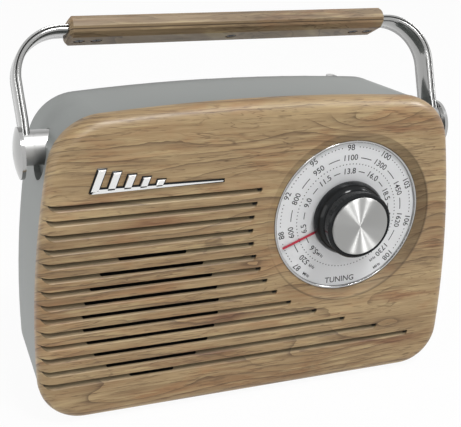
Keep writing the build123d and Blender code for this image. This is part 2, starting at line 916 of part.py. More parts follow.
jack_gap = jack_radius + seat_gap
foot_places = [
    (x, face_y + depth) for x in (-foot_x, foot_x) for depth in (foot_front_depth, foot_back_depth)
]
with BuildPart() as cabinet_shell:
    add(shell_outside)
    add(shell_inside, mode=Mode.SUBTRACT)
    with BuildSketch(facing(rim_depth - tongue_length)):
        add(front_outline(rim_wall + tongue_gap))
        add(front_outline(rim_wall + tongue_gap + tongue_wall), mode=Mode.SUBTRACT)
    extrude(amount=-tongue_length)
    with BuildSketch(facing(rim_depth)):
        add(front_outline(shell_step + 1))
        add(front_outline(rim_wall + tongue_gap + tongue_wall), mode=Mode.SUBTRACT)
    extrude(amount=-tongue_length)
    with BuildSketch(facing(rim_depth + tongue_length)):
        with Locations(*front_boss_places):
            Circle(boss_radius)
    extrude(amount=-boss_length)
    with BuildSketch(facing(cover_depth - boss_length)):
        with Locations(*back_boss_places):
            Circle(boss_radius)
    extrude(amount=-boss_length)
    add(hub_bosses.part)
    add(control_pad.part)
    with BuildSketch(Plane.XY.offset(foot_height)):
        with Locations(*foot_places):
            Circle(foot_radius + 1)
    extrude(amount=shell_step + bottom_taper + shell_wall)
    with BuildSketch(facing(rim_depth - tongue_length)):
        with Locations(*front_boss_places):
            Circle(boss_radius + moving_gap)
    extrude(amount=-2 * tongue_length, mode=Mode.SUBTRACT)
    with BuildSketch(facing(rim_depth)):
        with Locations(*front_boss_places):
            Circle(screw_radius + screw_room)
    extrude(amount=-boss_length - tongue_length, mode=Mode.SUBTRACT)
    with BuildSketch(facing(cover_depth - boss_length)):
        with Locations(*back_boss_places):
            Circle(screw_radius)
    extrude(amount=-boss_length, mode=Mode.SUBTRACT)
    # hub seats, right and left
    with BuildSketch(Plane.YZ.offset(hub_recess_x)):
        with Locations((pivot_y, pivot_height)):
            Circle(hub_recess_radius)
    hub_recess = extrude(amount=half_width - hub_recess_x, mode=Mode.SUBTRACT)
    with BuildSketch(Plane.YZ.offset(hub_inner_x - moving_gap)):
        with Locations((pivot_y, pivot_height)):
            Circle(hub_radius + moving_gap)
    hub_well = extrude(amount=half_width - hub_inner_x, mode=Mode.SUBTRACT)
    with BuildSketch(Plane.YZ.offset(hub_boss_inner_x - 1)):
        with Locations((pivot_y, pivot_height)):
            Circle(hub_shaft_radius + running_gap)
    hub_bore = extrude(amount=hub_inner_x - hub_boss_inner_x + 1, mode=Mode.SUBTRACT)
    mirror(objects=[hub_recess, hub_well, hub_bore], about=Plane.YZ, mode=Mode.SUBTRACT)
    # openings of the controls
    with BuildSketch(Plane.YZ.offset(volume_recess_x)):
        with Locations((control_y, volume_height)):
            Circle(volume_recess_radius)
    extrude(amount=half_width - volume_recess_x, mode=Mode.SUBTRACT)
    with BuildSketch(Plane.YZ.offset(pad_inner_x - 1)):
        with Locations((control_y, volume_height)):
            Circle(volume_shaft_radius + running_gap)
        with Locations((control_y, jack_height)):
            Circle(jack_gap)
        with Locations((control_y, band_height)):
            Rectangle(
                band_nub_width + 2 * moving_gap,
                band_nub_length + 2 * band_travel + 2 * moving_gap,
            )
    extrude(amount=half_width - pad_inner_x, mode=Mode.SUBTRACT)
    with BuildSketch(Plane.YZ.offset(band_recess_x)):
        with Locations((control_y, band_height)):
            RectangleRounded(
                band_nub_width + 2 * band_recess_margin,
                band_nub_length + 2 * band_travel + 2 * band_recess_margin,
                band_recess_margin * 0.75,
            )
    extrude(amount=half_width - band_recess_x, mode=Mode.SUBTRACT)
    with BuildSketch(Plane.YZ.offset(jack_recess_x)):
        with Locations((control_y, jack_height)):
            Circle(jack_recess_radius)
    extrude(amount=half_width - jack_recess_x, mode=Mode.SUBTRACT)
cabinet_shell.part.label = "cabinet_shell"
export_step(cabinet_shell.part, "parts/cabinet_shell.step")

with BuildPart() as panel_screws:
    with BuildSketch(facing(rim_depth + tongue_length + boss_length)):
        with Locations(*front_boss_places):
            Circle(screw_head_radius)
    extrude(amount=-screw_head)
    with BuildSketch(facing(panel_wall + 1)):
        with Locations(*front_boss_places):
            Circle(screw_radius - screw_room / 4)
    extrude(amount=panel_wall + 1 - rim_depth - tongue_length - boss_length)
panel_screws.part.label = "panel_screws"
export_step(panel_screws.part, "parts/panel_screws.step")

with BuildPart() as rubber_feet:
    with BuildSketch(Plane.XY):
        with Locations(*foot_places):
            Circle(foot_radius)
    extrude(amount=foot_height)
    chamfer(rubber_feet.faces().group_by(Axis.Z)[0].edges(), length=0.6)
rubber_feet.part.label = "rubber_feet"
export_step(rubber_feet.part, "parts/rubber_feet.step")

# ---------------------------------------------------------------- rear cover
# A rounded lid with a locating lip, a battery bay moulded into it and a boss for the aerial.

cell_full = cell_length + cell_nub
bay_half_width = cell_full + (spring_length + 2 * contact_thickness) / 2
bay_height = 4 * cell_radius + 3 * cell_room
bay_middle = bay_bottom + bay_height / 2
bay_back = cabinet_depth - door_thickness - moving_gap
bay_front = bay_back - 2 * cell_radius - 2 * cell_room
door_half_width = bay_half_width + door_ledge
door_bottom = bay_bottom - door_ledge
door_top = bay_bottom + bay_height + door_ledge
hinge_height = door_bottom + door_thickness / 2
hinge_depth = cabinet_depth - door_thickness / 2
head_sink = screw_head + 0.3

with BuildPart() as rear_cover:
    with BuildSketch(facing(cover_depth)):
        add(back_outline(0))
    extrude(amount=-cover_thickness)
    fillet(rear_cover.faces().sort_by(Axis.Y)[-1].edges(), radius=cover_round)
    with BuildSketch(facing(cover_depth)):
        add(back_outline(shell_wall + tongue_gap))
        add(back_outline(shell_wall + tongue_gap + tongue_wall), mode=Mode.SUBTRACT)
        with Locations(*back_boss_places):
            Circle(boss_radius + moving_gap, mode=Mode.SUBTRACT)
        with Locations((aerial_x, aerial_height)):
            Circle(turret_clip_radius + moving_gap, mode=Mode.SUBTRACT)
    extrude(amount=tongue_length)
    with BuildSketch(facing(bay_front - bay_wall)):
        with Locations((0, bay_middle)):
            Rectangle(2 * (bay_half_width + bay_wall), bay_height + 2 * bay_wall)
    extrude(amount=bay_front - bay_wall - cover_depth - 1)
    with BuildSketch(facing(bay_front)):
        with Locations((0, bay_middle)):
            Rectangle(2 * bay_half_width, bay_height)
    extrude(amount=bay_front - cabinet_depth - 1, mode=Mode.SUBTRACT)
    with BuildSketch(facing(bay_back)):
        with Locations((0, (door_bottom + door_top) / 2)):
            Rectangle(2 * (door_half_width + door_gap), door_top - door_bottom + 2 * door_gap)
    extrude(amount=bay_back - cabinet_depth - 1, mode=Mode.SUBTRACT)
    trunnion_reach = door_half_width + trunnion_length + moving_gap
    with BuildSketch(Plane.YZ.offset(-trunnion_reach)):
        with Locations((face_y + hinge_depth, hinge_height)):
            Circle(trunnion_radius + trunnion_gap)
    extrude(amount=2 * trunnion_reach, mode=Mode.SUBTRACT)
    with BuildSketch(facing(cabinet_depth - 1)):
        with Locations((aerial_x, aerial_height)):
            Circle(turret_boss_radius)
    extrude(amount=moving_gap - turret_stand - 1)
    with BuildSketch(facing(cover_depth - 1)):
        with Locations((aerial_x, aerial_height)):
            Circle(turret_pin_radius + running_gap)
        with Locations((power_x, power_height)):
            Circle(power_radius + seat_gap)
        with Locations(*back_boss_places):
            Circle(screw_radius + screw_room)
    extrude(amount=-cover_thickness - turret_stand - 1, mode=Mode.SUBTRACT)
    with BuildSketch(facing(cabinet_depth - head_sink)):
        with Locations(*back_boss_places):
            Circle(screw_head_radius + moving_gap)
    extrude(amount=-head_sink - 1, mode=Mode.SUBTRACT)
rear_cover.part.label = "rear_cover"
export_step(rear_cover.part, "parts/rear_cover.step")

with BuildPart() as cover_screws:
    with BuildSketch(facing(cabinet_depth - head_sink)):
        with Locations(*back_boss_places):
            Circle(screw_head_radius)
    extrude(amount=-screw_head)
    with BuildSketch(facing(cover_depth - boss_length + 1)):
        with Locations(*back_boss_places):
            Circle(screw_radius - screw_room / 4)
    extrude(amount=cover_depth - boss_length + 1 - cabinet_depth + head_sink)
cover_screws.part.label = "cover_screws"
export_step(cover_screws.part, "parts/cover_screws.step")

with BuildPart() as battery_door:
    with BuildSketch(facing(cabinet_depth - door_thickness)):
        with Locations((0, (hinge_height + door_top) / 2)):
            Rectangle(2 * door_half_width, door_top - hinge_height)
    extrude(amount=-door_thickness)
    with BuildSketch(Plane.YZ.offset(-door_half_width)):
        with Locations((face_y + hinge_depth, hinge_height)):
            Circle(door_thickness / 2)
    extrude(amount=2 * door_half_width)
    with BuildSketch(Plane.YZ.offset(-door_half_width - trunnion_length)):
        with Locations((face_y + hinge_depth, hinge_height)):
            Circle(trunnion_radius)
    extrude(amount=2 * (door_half_width + trunnion_length))
    with BuildSketch(facing(cabinet_depth - thumb_sink)):
        with Locations((0, door_top - thumb_height)):
            SlotOverall(thumb_width, thumb_height)
    extrude(amount=-thumb_sink - 1, mode=Mode.SUBTRACT)
battery_door.part.label = "battery_door"
export_step(battery_door.part, "parts/battery_door.step")

# ---------------------------------------------------------------- batteries and contacts

cell_y = face_y + bay_front + cell_room + cell_radius
lower_row = bay_bottom + cell_room + cell_radius
upper_row = lower_row + 2 * cell_radius + cell_room


def bay_axis(height):
    return Axis((0, cell_y, height), (1, 0, 0))


def bay_plane(height):
    """Plane through a row of cells: length along X, radius up."""
    return Plane(origin=(0, cell_y, height), x_dir=(1, 0, 0), z_dir=(0, -1, 0))


with BuildPart() as battery_cells:
    for height, towards in ((lower_row, 1), (upper_row, -1)):
        for place in (0, 1):
            start = spring_length + contact_thickness - bay_half_width + place * cell_full
            with BuildSketch(bay_plane(height)):
                with BuildLine():
                    Polyline(
                        (towards * start, 0),
                        (towards * start, cell_radius),
                        (towards * (start + cell_length), cell_radius),
                        (towards * (start + cell_length), cell_nub_radius),
                        (towards * (start + cell_full), cell_nub_radius),
                        (towards * (start + cell_full), 0),
                        close=True,
                    )
                make_face()
            revolve(axis=bay_axis(height))
battery_cells.part.label = "battery_cells"
export_step(battery_cells.part, "parts/battery_cells.step")

with BuildPart() as battery_springs:
    for height, towards in ((lower_row, 1), (upper_row, -1)):
        turn = (spring_length - contact_thickness) / spring_turns
        edge = [(-bay_half_width, 0), (-bay_half_width, spring_radius + 1)]
        edge += [(contact_thickness - bay_half_width, spring_radius + 1)]
        for index in range(spring_turns):
            start = contact_thickness - bay_half_width + index * turn
            outer = spring_radius - 0.5 * index
            edge += [(start, outer - 1), (start + turn / 2, outer)]
        edge += [(spring_length - bay_half_width, 2), (spring_length - bay_half_width, 0)]
        with BuildSketch(bay_plane(height)):
            with BuildLine():
                Polyline(*[(towards * x, r) for x, r in edge], close=True)
            make_face()
        revolve(axis=bay_axis(height))
battery_springs.part.label = "battery_springs"
export_step(battery_springs.part, "parts/battery_springs.step")

with BuildPart() as battery_plates:
    with BuildSketch(Plane.YZ.offset(bay_half_width - contact_thickness)):
        with Locations((cell_y, lower_row)):
            RectangleRounded(cell_radius, cell_radius, 2)
    extrude(amount=contact_thickness)
    with BuildSketch(Plane.YZ.offset(-bay_half_width)):
        with Locations((cell_y, upper_row)):
            RectangleRounded(cell_radius, cell_radius, 2)
    extrude(amount=contact_thickness)
battery_plates.part.label = "battery_plates"
export_step(battery_plates.part, "parts/battery_plates.step")

with BuildPart() as power_jack:
    with BuildSketch(facing(cover_depth - power_body)):
        with Locations((power_x, power_height)):
            Rectangle(power_body, power_body)
    extrude(amount=-power_body)
    with BuildSketch(facing(cover_depth)):
        with Locations((power_x, power_height)):
            Circle(power_radius)
    extrude(amount=seat_gap - cover_thickness)
    with BuildSketch(facing(cabinet_depth - power_bore_depth)):
        with Locations((power_x, power_height)):
            Circle(power_bore_radius)
    extrude(amount=-power_bore_depth, mode=Mode.SUBTRACT)
power_jack.part.label = "power_jack"
export_step(power_jack.part, "parts/power_jack.step")

# ---------------------------------------------------------------- chassis board

board_back = board_depth + board_thickness
board_middle_x = (board_left + board_right) / 2
board_middle = (board_bottom + board_top) / 2
with BuildPart() as main_board:
    with BuildSketch(facing(board_depth)):
        with Locations((board_middle_x, board_middle)):
            Rectangle(board_right - board_left, board_top - board_bottom)
        with Locations(*board_posts):
            Circle(screw_radius + screw_room, mode=Mode.SUBTRACT)
    extrude(amount=-board_thickness)
main_board.part.label = "main_board"
export_step(main_board.part, "parts/main_board.step")

with BuildPart() as board_screws:
    with BuildSketch(facing(board_back)):
        with Locations(*board_posts):
            Circle(screw_head_radius)
    extrude(amount=-screw_head)
    with BuildSketch(facing(board_back)):
        with Locations(*board_posts):
            Circle(screw_radius - screw_room / 4)
    extrude(amount=board_thickness + boss_length - 2)
board_screws.part.label = "board_screws"
export_step(board_screws.part, "parts/board_screws.step")

# Screened coils in a row, two electrolytics and the amplifier chip.
with BuildPart() as board_parts:
    with BuildSketch(facing(board_back)):
        with Locations((board_middle_x - screened_coil_offset, board_middle)):
            with GridLocations(screened_coil_pitch, 0, screened_coils, 1):
                Rectangle(screened_coil_size, screened_coil_size)
    extrude(amount=-screened_coil_height)
    with BuildSketch(facing(board_back)):
        with Locations((board_middle_x + electrolytic_offset, board_middle - electrolytic_drop)):
            with GridLocations(electrolytic_pitch, 0, 2, 1):
                Circle(electrolytic_radius)
    extrude(amount=-electrolytic_height)
    with BuildSketch(facing(board_back)):
        with Locations((board_middle_x, board_middle - amplifier_drop)):
            Rectangle(amplifier_length, amplifier_width)
    extrude(amount=-amplifier_height)
board_parts.part.label = "board_parts"
export_step(board_parts.part, "parts/board_parts.step")

rod_y = face_y + board_back + rod_stand
rod_height = board_top - rod_drop
rod_left = board_middle_x - rod_half_length
with BuildPart() as ferrite_rod:
    with BuildSketch(Plane.YZ.offset(rod_left)):
        with Locations((rod_y, rod_height)):
            Circle(rod_radius)
    extrude(amount=2 * rod_half_length)
ferrite_rod.part.label = "ferrite_rod"
export_step(ferrite_rod.part, "parts/ferrite_rod.step")

with BuildPart() as aerial_coil:
    with BuildSketch(Plane.YZ.offset(board_middle_x - coil_length)):
        with Locations((rod_y, rod_height)):
            Circle(rod_radius + running_gap + coil_wall)
            Circle(rod_radius + running_gap, mode=Mode.SUBTRACT)
    extrude(amount=coil_length)
aerial_coil.part.label = "aerial_coil"
export_step(aerial_coil.part, "parts/aerial_coil.step")

clip_outer = rod_radius + rod_clip_wall
with BuildPart() as rod_clips:
    for x in (board_left + rod_clip_inset, board_right - rod_clip_inset):
        with BuildSketch(Plane.YZ.offset(x - rod_clip_width / 2)):
            with Locations((rod_y, rod_height)):
                Circle(clip_outer)
            with Locations((rod_y - rod_stand / 2, rod_height)):
                Rectangle(rod_stand, 2 * clip_outer)
            with Locations((rod_y, rod_height)):
                Circle(rod_radius + running_gap, mode=Mode.SUBTRACT)
        extrude(amount=rod_clip_width)
rod_clips.part.label = "rod_clips"
export_step(rod_clips.part, "parts/rod_clips.step")

# ---------------------------------------------------------------- controls on the right side

with BuildPart() as volume_pot:
    with BuildSketch(Plane.YZ.offset(pad_inner_x - pot_length)):
        with Locations((control_y, volume_height)):
            Circle(pot_radius)
    extrude(amount=pot_length)
    with BuildSketch(Plane.YZ.offset(pad_inner_x - pot_length + 2)):
        with Locations((control_y, volume_height)):
            Circle(volume_shaft_radius + running_gap)
    extrude(amount=pot_length, mode=Mode.SUBTRACT)
volume_pot.part.label = "volume_pot"
export_step(volume_pot.part, "parts/volume_pot.step")

flute_count = 18
with BuildPart() as volume_knob:
    with BuildSketch(Plane.YZ.offset(pad_inner_x - pot_length + 2 + moving_gap)):
        with Locations((control_y, volume_height)):
            Circle(volume_shaft_radius)
    extrude(amount=volume_recess_x - pad_inner_x + pot_length)
    with BuildSketch(Plane.YZ.offset(volume_recess_x + moving_gap)):
        with Locations((control_y, volume_height)):
            Circle(volume_radius)
            with PolarLocations(volume_radius + 0.3, flute_count):
                Circle(0.8, mode=Mode.SUBTRACT)
    extrude(amount=volume_reach_x - volume_recess_x - moving_gap)
    with BuildSketch(Plane.YZ.offset(volume_reach_x - 0.4)):
        with Locations((control_y, volume_height + volume_radius / 2)):
            Rectangle(1.0, volume_radius * 0.8)
    extrude(amount=1, mode=Mode.SUBTRACT)
volume_knob.part.label = "volume_knob"
export_step(volume_knob.part, "parts/volume_knob.step")

band_slot = band_nub_length + 2 * band_travel + 2 * moving_gap
band_stem_depth = band_body_depth - 2.5
with BuildPart() as band_switch:
    with BuildSketch(Plane.YZ.offset(pad_inner_x - band_body_depth)):
        with Locations((control_y, band_height)):
            Rectangle(band_body_width, band_body_length)
    extrude(amount=band_body_depth)
    with BuildSketch(Plane.YZ.offset(pad_inner_x - band_stem_depth)):
        with Locations((control_y, band_height)):
            Rectangle(band_nub_width + 2 * moving_gap, band_slot)
    extrude(amount=band_stem_depth, mode=Mode.SUBTRACT)
band_switch.part.label = "band_switch"
export_step(band_switch.part, "parts/band_switch.step")

with BuildPart() as band_slider:
    with BuildSketch(Plane.YZ.offset(pad_inner_x - band_stem_depth + moving_gap)):
        with Locations((control_y, band_height)):
            Rectangle(band_nub_width, band_nub_length)
    extrude(amount=band_reach_x - pad_inner_x + band_stem_depth - moving_gap)
    with BuildSketch(Plane.YZ.offset(band_reach_x - 0.6)):
        with Locations((control_y, band_height)):
            with GridLocations(0, 2.0, 1, 3):
                Rectangle(band_nub_width, 0.7)
    extrude(amount=1, mode=Mode.SUBTRACT)
band_slider.part.label = "band_slider"
export_step(band_slider.part, "parts/band_slider.step")

with BuildPart() as earphone_jack:
    with BuildSketch(Plane.YZ.offset(pad_inner_x - jack_length)):
        with Locations((control_y, jack_height)):
            Rectangle(jack_body, jack_body)
    extrude(amount=jack_length)
    with BuildSketch(Plane.YZ.offset(pad_inner_x)):
        with Locations((control_y, jack_height)):
            Circle(jack_radius)
    extrude(amount=jack_recess_x - pad_inner_x)
    with BuildSketch(Plane.YZ.offset(jack_recess_x - jack_length)):
        with Locations((control_y, jack_height)):
            Circle(jack_bore_radius)
    extrude(amount=jack_length, mode=Mode.SUBTRACT)
earphone_jack.part.label = "earphone_jack"
export_step(earphone_jack.part, "parts/earphone_jack.step")

# ---------------------------------------------------------------- handle
# A U of plated strap on two hubs that turn in the bosses of the shell, under a two-part grip.

lean_back = (0, -cos(tilt), sin(tilt))
along_strap = (0, sin(tilt), cos(tilt))
handle_plane = Plane(origin=(0, pivot_y, pivot_height), x_dir=(1, 0, 0), z_dir=lean_back)
pivot_section = Plane(origin=(0, pivot_y, pivot_height), x_dir=(1, 0, 0), z_dir=(0, -1, 0))


def across_strap(distance):
    """Plane square to the arms at a distance from the pivot."""
    return Plane(origin=(0, pivot_y, pivot_height), x_dir=(1, 0, 0), z_dir=along_strap).offset(distance)


def strap_edge(offset):
    """Side of the strap, this far outside its middle line, with rounded corners."""
    with BuildSketch() as bow:
        with BuildLine():
            Polyline(
                (-arm_x - offset, 0),
                (-arm_x - offset, arm_straight),
                (-arm_top_x - offset, handle_reach + offset),
                (arm_top_x + offset, handle_reach + offset),
                (arm_x + offset, arm_straight),
                (arm_x + offset, 0),
                close=True,
            )
        make_face()
        fillet(bow.vertices().group_by(Axis.Y)[-1], radius=strap_corner + offset)
    return bow.sketch


with BuildPart() as handle_strap:
    with BuildSketch(handle_plane):
        add(strap_edge(strap_thickness / 2))
        add(strap_edge(-strap_thickness / 2), mode=Mode.SUBTRACT)
    extrude(amount=strap_width / 2, both=True)
    with BuildSketch(Plane.YZ.offset(strap_inner_x)):
        with Locations((pivot_y, pivot_height)):
            Circle(strap_width / 2)
    strap_eye = extrude(amount=strap_thickness)
    mirror(objects=[strap_eye], about=Plane.YZ)
    with BuildSketch(across_strap(handle_reach - strap_thickness)):
        with Locations(*[(x, 0) for x in grip_screw_places]):
            Circle(screw_radius + screw_room)
    extrude(amount=2 * strap_thickness, mode=Mode.SUBTRACT)
handle_strap.part.label = "handle_strap"
export_step(handle_strap.part, "parts/handle_strap.step")

clip_place = hub_boss_inner_x - moving_gap - clip_thickness
with BuildPart() as handle_hubs:
    with BuildSketch(pivot_section):
        with BuildLine():
            Polyline(
                (hub_shaft_end_x, 0),
                (hub_shaft_end_x, hub_shaft_radius),
                (clip_place, hub_shaft_radius),
                (clip_place, hub_shaft_radius - clip_groove),
                (clip_place + clip_thickness, hub_shaft_radius - clip_groove),
                (clip_place + clip_thickness, hub_shaft_radius),
                (hub_inner_x, hub_shaft_radius),
                (hub_inner_x, hub_radius),
                (strap_inner_x, hub_radius),
                (strap_inner_x, 0),
                close=True,
            )
        make_face()
    revolve(axis=handle_axis)
    mirror(about=Plane.YZ)
handle_hubs.part.label = "handle_hubs"
export_step(handle_hubs.part, "parts/handle_hubs.step")

with BuildPart() as hub_clips:
    with BuildSketch(Plane.YZ.offset(clip_place)):
        with Locations((pivot_y, pivot_height)):
            Circle(clip_radius)
            Circle(hub_shaft_radius - clip_groove + running_gap, mode=Mode.SUBTRACT)
    extrude(amount=clip_thickness)
    mirror(about=Plane.YZ)
hub_clips.part.label = "hub_clips"
export_step(hub_clips.part, "parts/hub_clips.step")

cap_rim_x = strap_outer_x + cap_disc_rim
cap_crown_x = cap_rim_x + cap_disc_dome
cap_sphere = (cap_disc_radius**2 + cap_disc_dome**2) / (2 * cap_disc_dome)
disc_y = pivot_y - cap_disc_drop * sin(tilt)
disc_height = pivot_height - cap_disc_drop * cos(tilt)
with BuildPart() as hub_caps:
    with BuildSketch(Plane(origin=(0, disc_y, disc_height), x_dir=(1, 0, 0), z_dir=(0, -1, 0))):
        with BuildLine():
            Polyline(
                (cap_crown_x, 0),
                (strap_outer_x, 0),
                (strap_outer_x, cap_disc_radius),
                (cap_rim_x, cap_disc_radius),
            )
            ThreePointArc(
                (cap_rim_x, cap_disc_radius),
                (cap_crown_x - sagitta(cap_sphere, cap_disc_radius / 2), cap_disc_radius / 2),
                (cap_crown_x, 0),
            )
        make_face()
    revolve(axis=Axis((0, disc_y, disc_height), (1, 0, 0)))
    mirror(about=Plane.YZ)
hub_caps.part.label = "hub_caps"
export_step(hub_caps.part, "parts/hub_caps.step")

# ---------------------------------------------------------------- grip

grip_low = handle_reach - grip_below
grip_high = handle_reach + grip_above
grip_split = handle_reach - strap_thickness / 2
grip_section = Plane(
    origin=(-grip_half_length, pivot_y, pivot_height),
    x_dir=(0, cos(tilt), -sin(tilt)),
    z_dir=(1, 0, 0),
)

with BuildPart() as grip_block:
    with BuildSketch(grip_section):
        with BuildLine():
            Polyline(
                (-grip_flat / 2, grip_low),
                (-grip_heel_width / 2, grip_low + grip_heel),
                (-grip_width / 2, grip_low + grip_belt),
                (-grip_shoulder_width / 2, grip_low + grip_shoulder),
                (-grip_top_width / 2, grip_high),
                (grip_top_width / 2, grip_high),
                (grip_shoulder_width / 2, grip_low + grip_shoulder),
                (grip_width / 2, grip_low + grip_belt),
                (grip_heel_width / 2, grip_low + grip_heel),
                (grip_flat / 2, grip_low),
                close=True,
            )
        make_face()
    extrude(amount=2 * grip_half_length)
    chamfer(grip_block.faces().sort_by(Axis.X)[0].edges(), length=grip_end_bevel)
    chamfer(grip_block.faces().sort_by(Axis.X)[-1].edges(), length=grip_end_bevel)

with BuildPart() as grip_base:
    add(grip_block.part)
    split(bisect_by=across_strap(grip_split), keep=Keep.BOTTOM)
    with BuildSketch(across_strap(grip_low)):
        with Locations(*[(x, 0) for x in grip_screw_places]):
            Circle(screw_head_radius + moving_gap)
    extrude(amount=grip_screw_sink, mode=Mode.SUBTRACT)
    with BuildSketch(across_strap(grip_low)):
        with Locations(*[(x, 0) for x in grip_screw_places]):
            Circle(screw_radius + screw_room)
    extrude(amount=grip_split - grip_low, mode=Mode.SUBTRACT)
grip_base.part.label = "grip_base"
export_step(grip_base.part, "parts/grip_base.step")

with BuildPart() as grip_cover:
    add(grip_block.part)
    split(bisect_by=across_strap(grip_split), keep=Keep.TOP)
    with BuildSketch(across_strap(grip_split)):
        Rectangle(2 * grip_half_length + 2, strap_width + seat_gap)
    extrude(amount=strap_thickness, mode=Mode.SUBTRACT)
    with BuildSketch(across_strap(grip_split)):
        with Locations(*[(x, 0) for x in grip_screw_places]):
            Circle(screw_radius)
    extrude(amount=grip_high - grip_split - grip_skin, mode=Mode.SUBTRACT)
grip_cover.part.label = "grip_cover"
export_step(grip_cover.part, "parts/grip_cover.step")

with BuildPart() as grip_screws:
    with BuildSketch(across_strap(grip_low + grip_screw_sink)):
        with Locations(*[(x, 0) for x in grip_screw_places]):
            Circle(screw_head_radius)
    extrude(amount=0.3 - grip_screw_sink)
    with BuildSketch(across_strap(grip_low + grip_screw_sink)):
        with Locations(*[(x, 0) for x in grip_screw_places]):
            Circle(screw_radius - screw_room / 4)
    extrude(amount=grip_high - grip_low - grip_screw_sink - grip_skin - screw_room)
grip_screws.part.label = "grip_screws"
export_step(grip_screws.part, "parts/grip_screws.step")

# ---------------------------------------------------------------- telescopic aerial
# A turret that turns on the cover, a forked knuckle that tips, and three nested stages.

turret_front = cabinet_depth + turret_stand
turret_back = turret_front + turret_plate
aerial_y = face_y + cabinet_depth + aerial_depth
with BuildPart() as aerial_turret:
    with BuildSketch(facing(turret_front)):
        with Locations((aerial_x, aerial_height)):
            Circle(turret_radius)
    extrude(amount=-turret_plate)
    with BuildSketch(facing(turret_front)):
        with Locations((aerial_x, aerial_height)):
            Circle(turret_pin_radius)
    extrude(amount=turret_pin_length)
    for ear_bottom in (fork_gap / 2, -fork_gap / 2 - fork_ear):
        with BuildSketch(Plane.XY.offset(aerial_height + ear_bottom)):
            with Locations((aerial_x, aerial_y)):
                Circle(fork_half_width)
                Circle(aerial_pin_radius + screw_room / 2, mode=Mode.SUBTRACT)
            with Locations((aerial_x, (aerial_y - aerial_pin_radius + face_y + turret_back - 0.2) / 2 - 0.2)):
                Rectangle(
                    2 * fork_half_width,
                    aerial_y - aerial_pin_radius - face_y - turret_back,
                )
        extrude(amount=fork_ear)
aerial_turret.part.label = "aerial_turret"
export_step(aerial_turret.part, "parts/aerial_turret.step")

with BuildPart() as turret_clip:
    with BuildSketch(facing(cover_depth - moving_gap)):
        with Locations((aerial_x, aerial_height)):
            Circle(turret_clip_radius)
            Circle(turret_pin_radius + running_gap, mode=Mode.SUBTRACT)
    extrude(amount=clip_thickness)
turret_clip.part.label = "turret_clip"
export_step(turret_clip.part, "parts/turret_clip.step")

with BuildPart() as aerial_pin:
    with BuildSketch(Plane.XY.offset(aerial_height - fork_gap / 2 - fork_ear)):
        with Locations((aerial_x, aerial_y)):
            Circle(aerial_pin_radius)
    extrude(amount=fork_gap + 2 * fork_ear)
aerial_pin.part.label = "aerial_pin"
export_step(aerial_pin.part, "parts/aerial_pin.step")

outer_bore = tube_radius - tube_wall
middle_radius = outer_bore - running_gap
middle_bore = middle_radius - tube_wall
rod_stage_radius = middle_bore - running_gap
knuckle_half = fork_gap / 2 - moving_gap / 2


def aerial_at(x):
    """Plane across the stowed aerial."""
    return Plane.YZ.offset(x)


with BuildPart() as aerial_outer:
    with BuildSketch(aerial_at(tube_far_x)):
        with Locations((aerial_y, aerial_height)):
            Circle(tube_radius)
    extrude(amount=tube_near_x - tube_far_x)
    with BuildSketch(aerial_at(tube_far_x)):
        with Locations((aerial_y, aerial_height)):
            Circle(outer_bore)
    extrude(amount=tube_near_x - tube_far_x - stage_step, mode=Mode.SUBTRACT)
    with BuildSketch(Plane.XY.offset(aerial_height - knuckle_half)):
        with Locations((aerial_x, aerial_y)):
            Circle(knuckle_radius)
        with Locations(((aerial_x + tube_near_x - 1) / 2, aerial_y)):
            Rectangle(aerial_x - tube_near_x + 1, 2 * tube_radius * 0.75)
        with Locations((aerial_x, aerial_y)):
            Circle(aerial_pin_radius + running_gap, mode=Mode.SUBTRACT)
    extrude(amount=2 * knuckle_half)
aerial_outer.part.label = "aerial_outer"
export_step(aerial_outer.part, "parts/aerial_outer.step")

middle_near_x = tube_near_x - 2 * stage_step
with BuildPart() as aerial_middle:
    with BuildSketch(aerial_at(tube_far_x - stage_step)):
        with Locations((aerial_y, aerial_height)):
            Circle(middle_radius)
            Circle(middle_bore, mode=Mode.SUBTRACT)
    extrude(amount=middle_near_x - tube_far_x + stage_step)
aerial_middle.part.label = "aerial_middle"
export_step(aerial_middle.part, "parts/aerial_middle.step")

with BuildPart() as aerial_rod:
    with BuildSketch(aerial_at(tube_far_x - 2 * stage_step)):
        with Locations((aerial_y, aerial_height)):
            Circle(rod_stage_radius)
    extrude(amount=middle_near_x - tube_far_x + stage_step)
aerial_rod.part.label = "aerial_rod"
export_step(aerial_rod.part, "parts/aerial_rod.step")

with BuildPart() as aerial_tip:
    with BuildSketch(aerial_at(tube_far_x - 2 * stage_step - tip_length)):
        with Locations((aerial_y, aerial_height)):
            Circle(tip_radius)
    extrude(amount=tip_length)
    fillet(aerial_tip.edges().group_by(Axis.X)[0], radius=1.2)
aerial_tip.part.label = "aerial_tip"
export_step(aerial_tip.part, "parts/aerial_tip.step")
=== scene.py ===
# %% [markdown]
# # A portable table radio
#
# The radio has a moulded front with a wood-figured film, a grey tub cabinet, a round tuning dial and
# a plated strap handle with a two-part grip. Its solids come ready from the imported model. This file
# gives every solid its finish, adds what a solid can't show, such as printed numbers, beaded edges
# and coiled wire, and sets up a camera and a soft studio.
#
# Everything is in metres, in the radio's own frame: X to the listener's right, Y to the back, Z up.

# %% Start from an empty file and load the frame
import bmesh
import bpy
import json
from math import cos, pi, radians, sin
from mathutils import Matrix, Vector

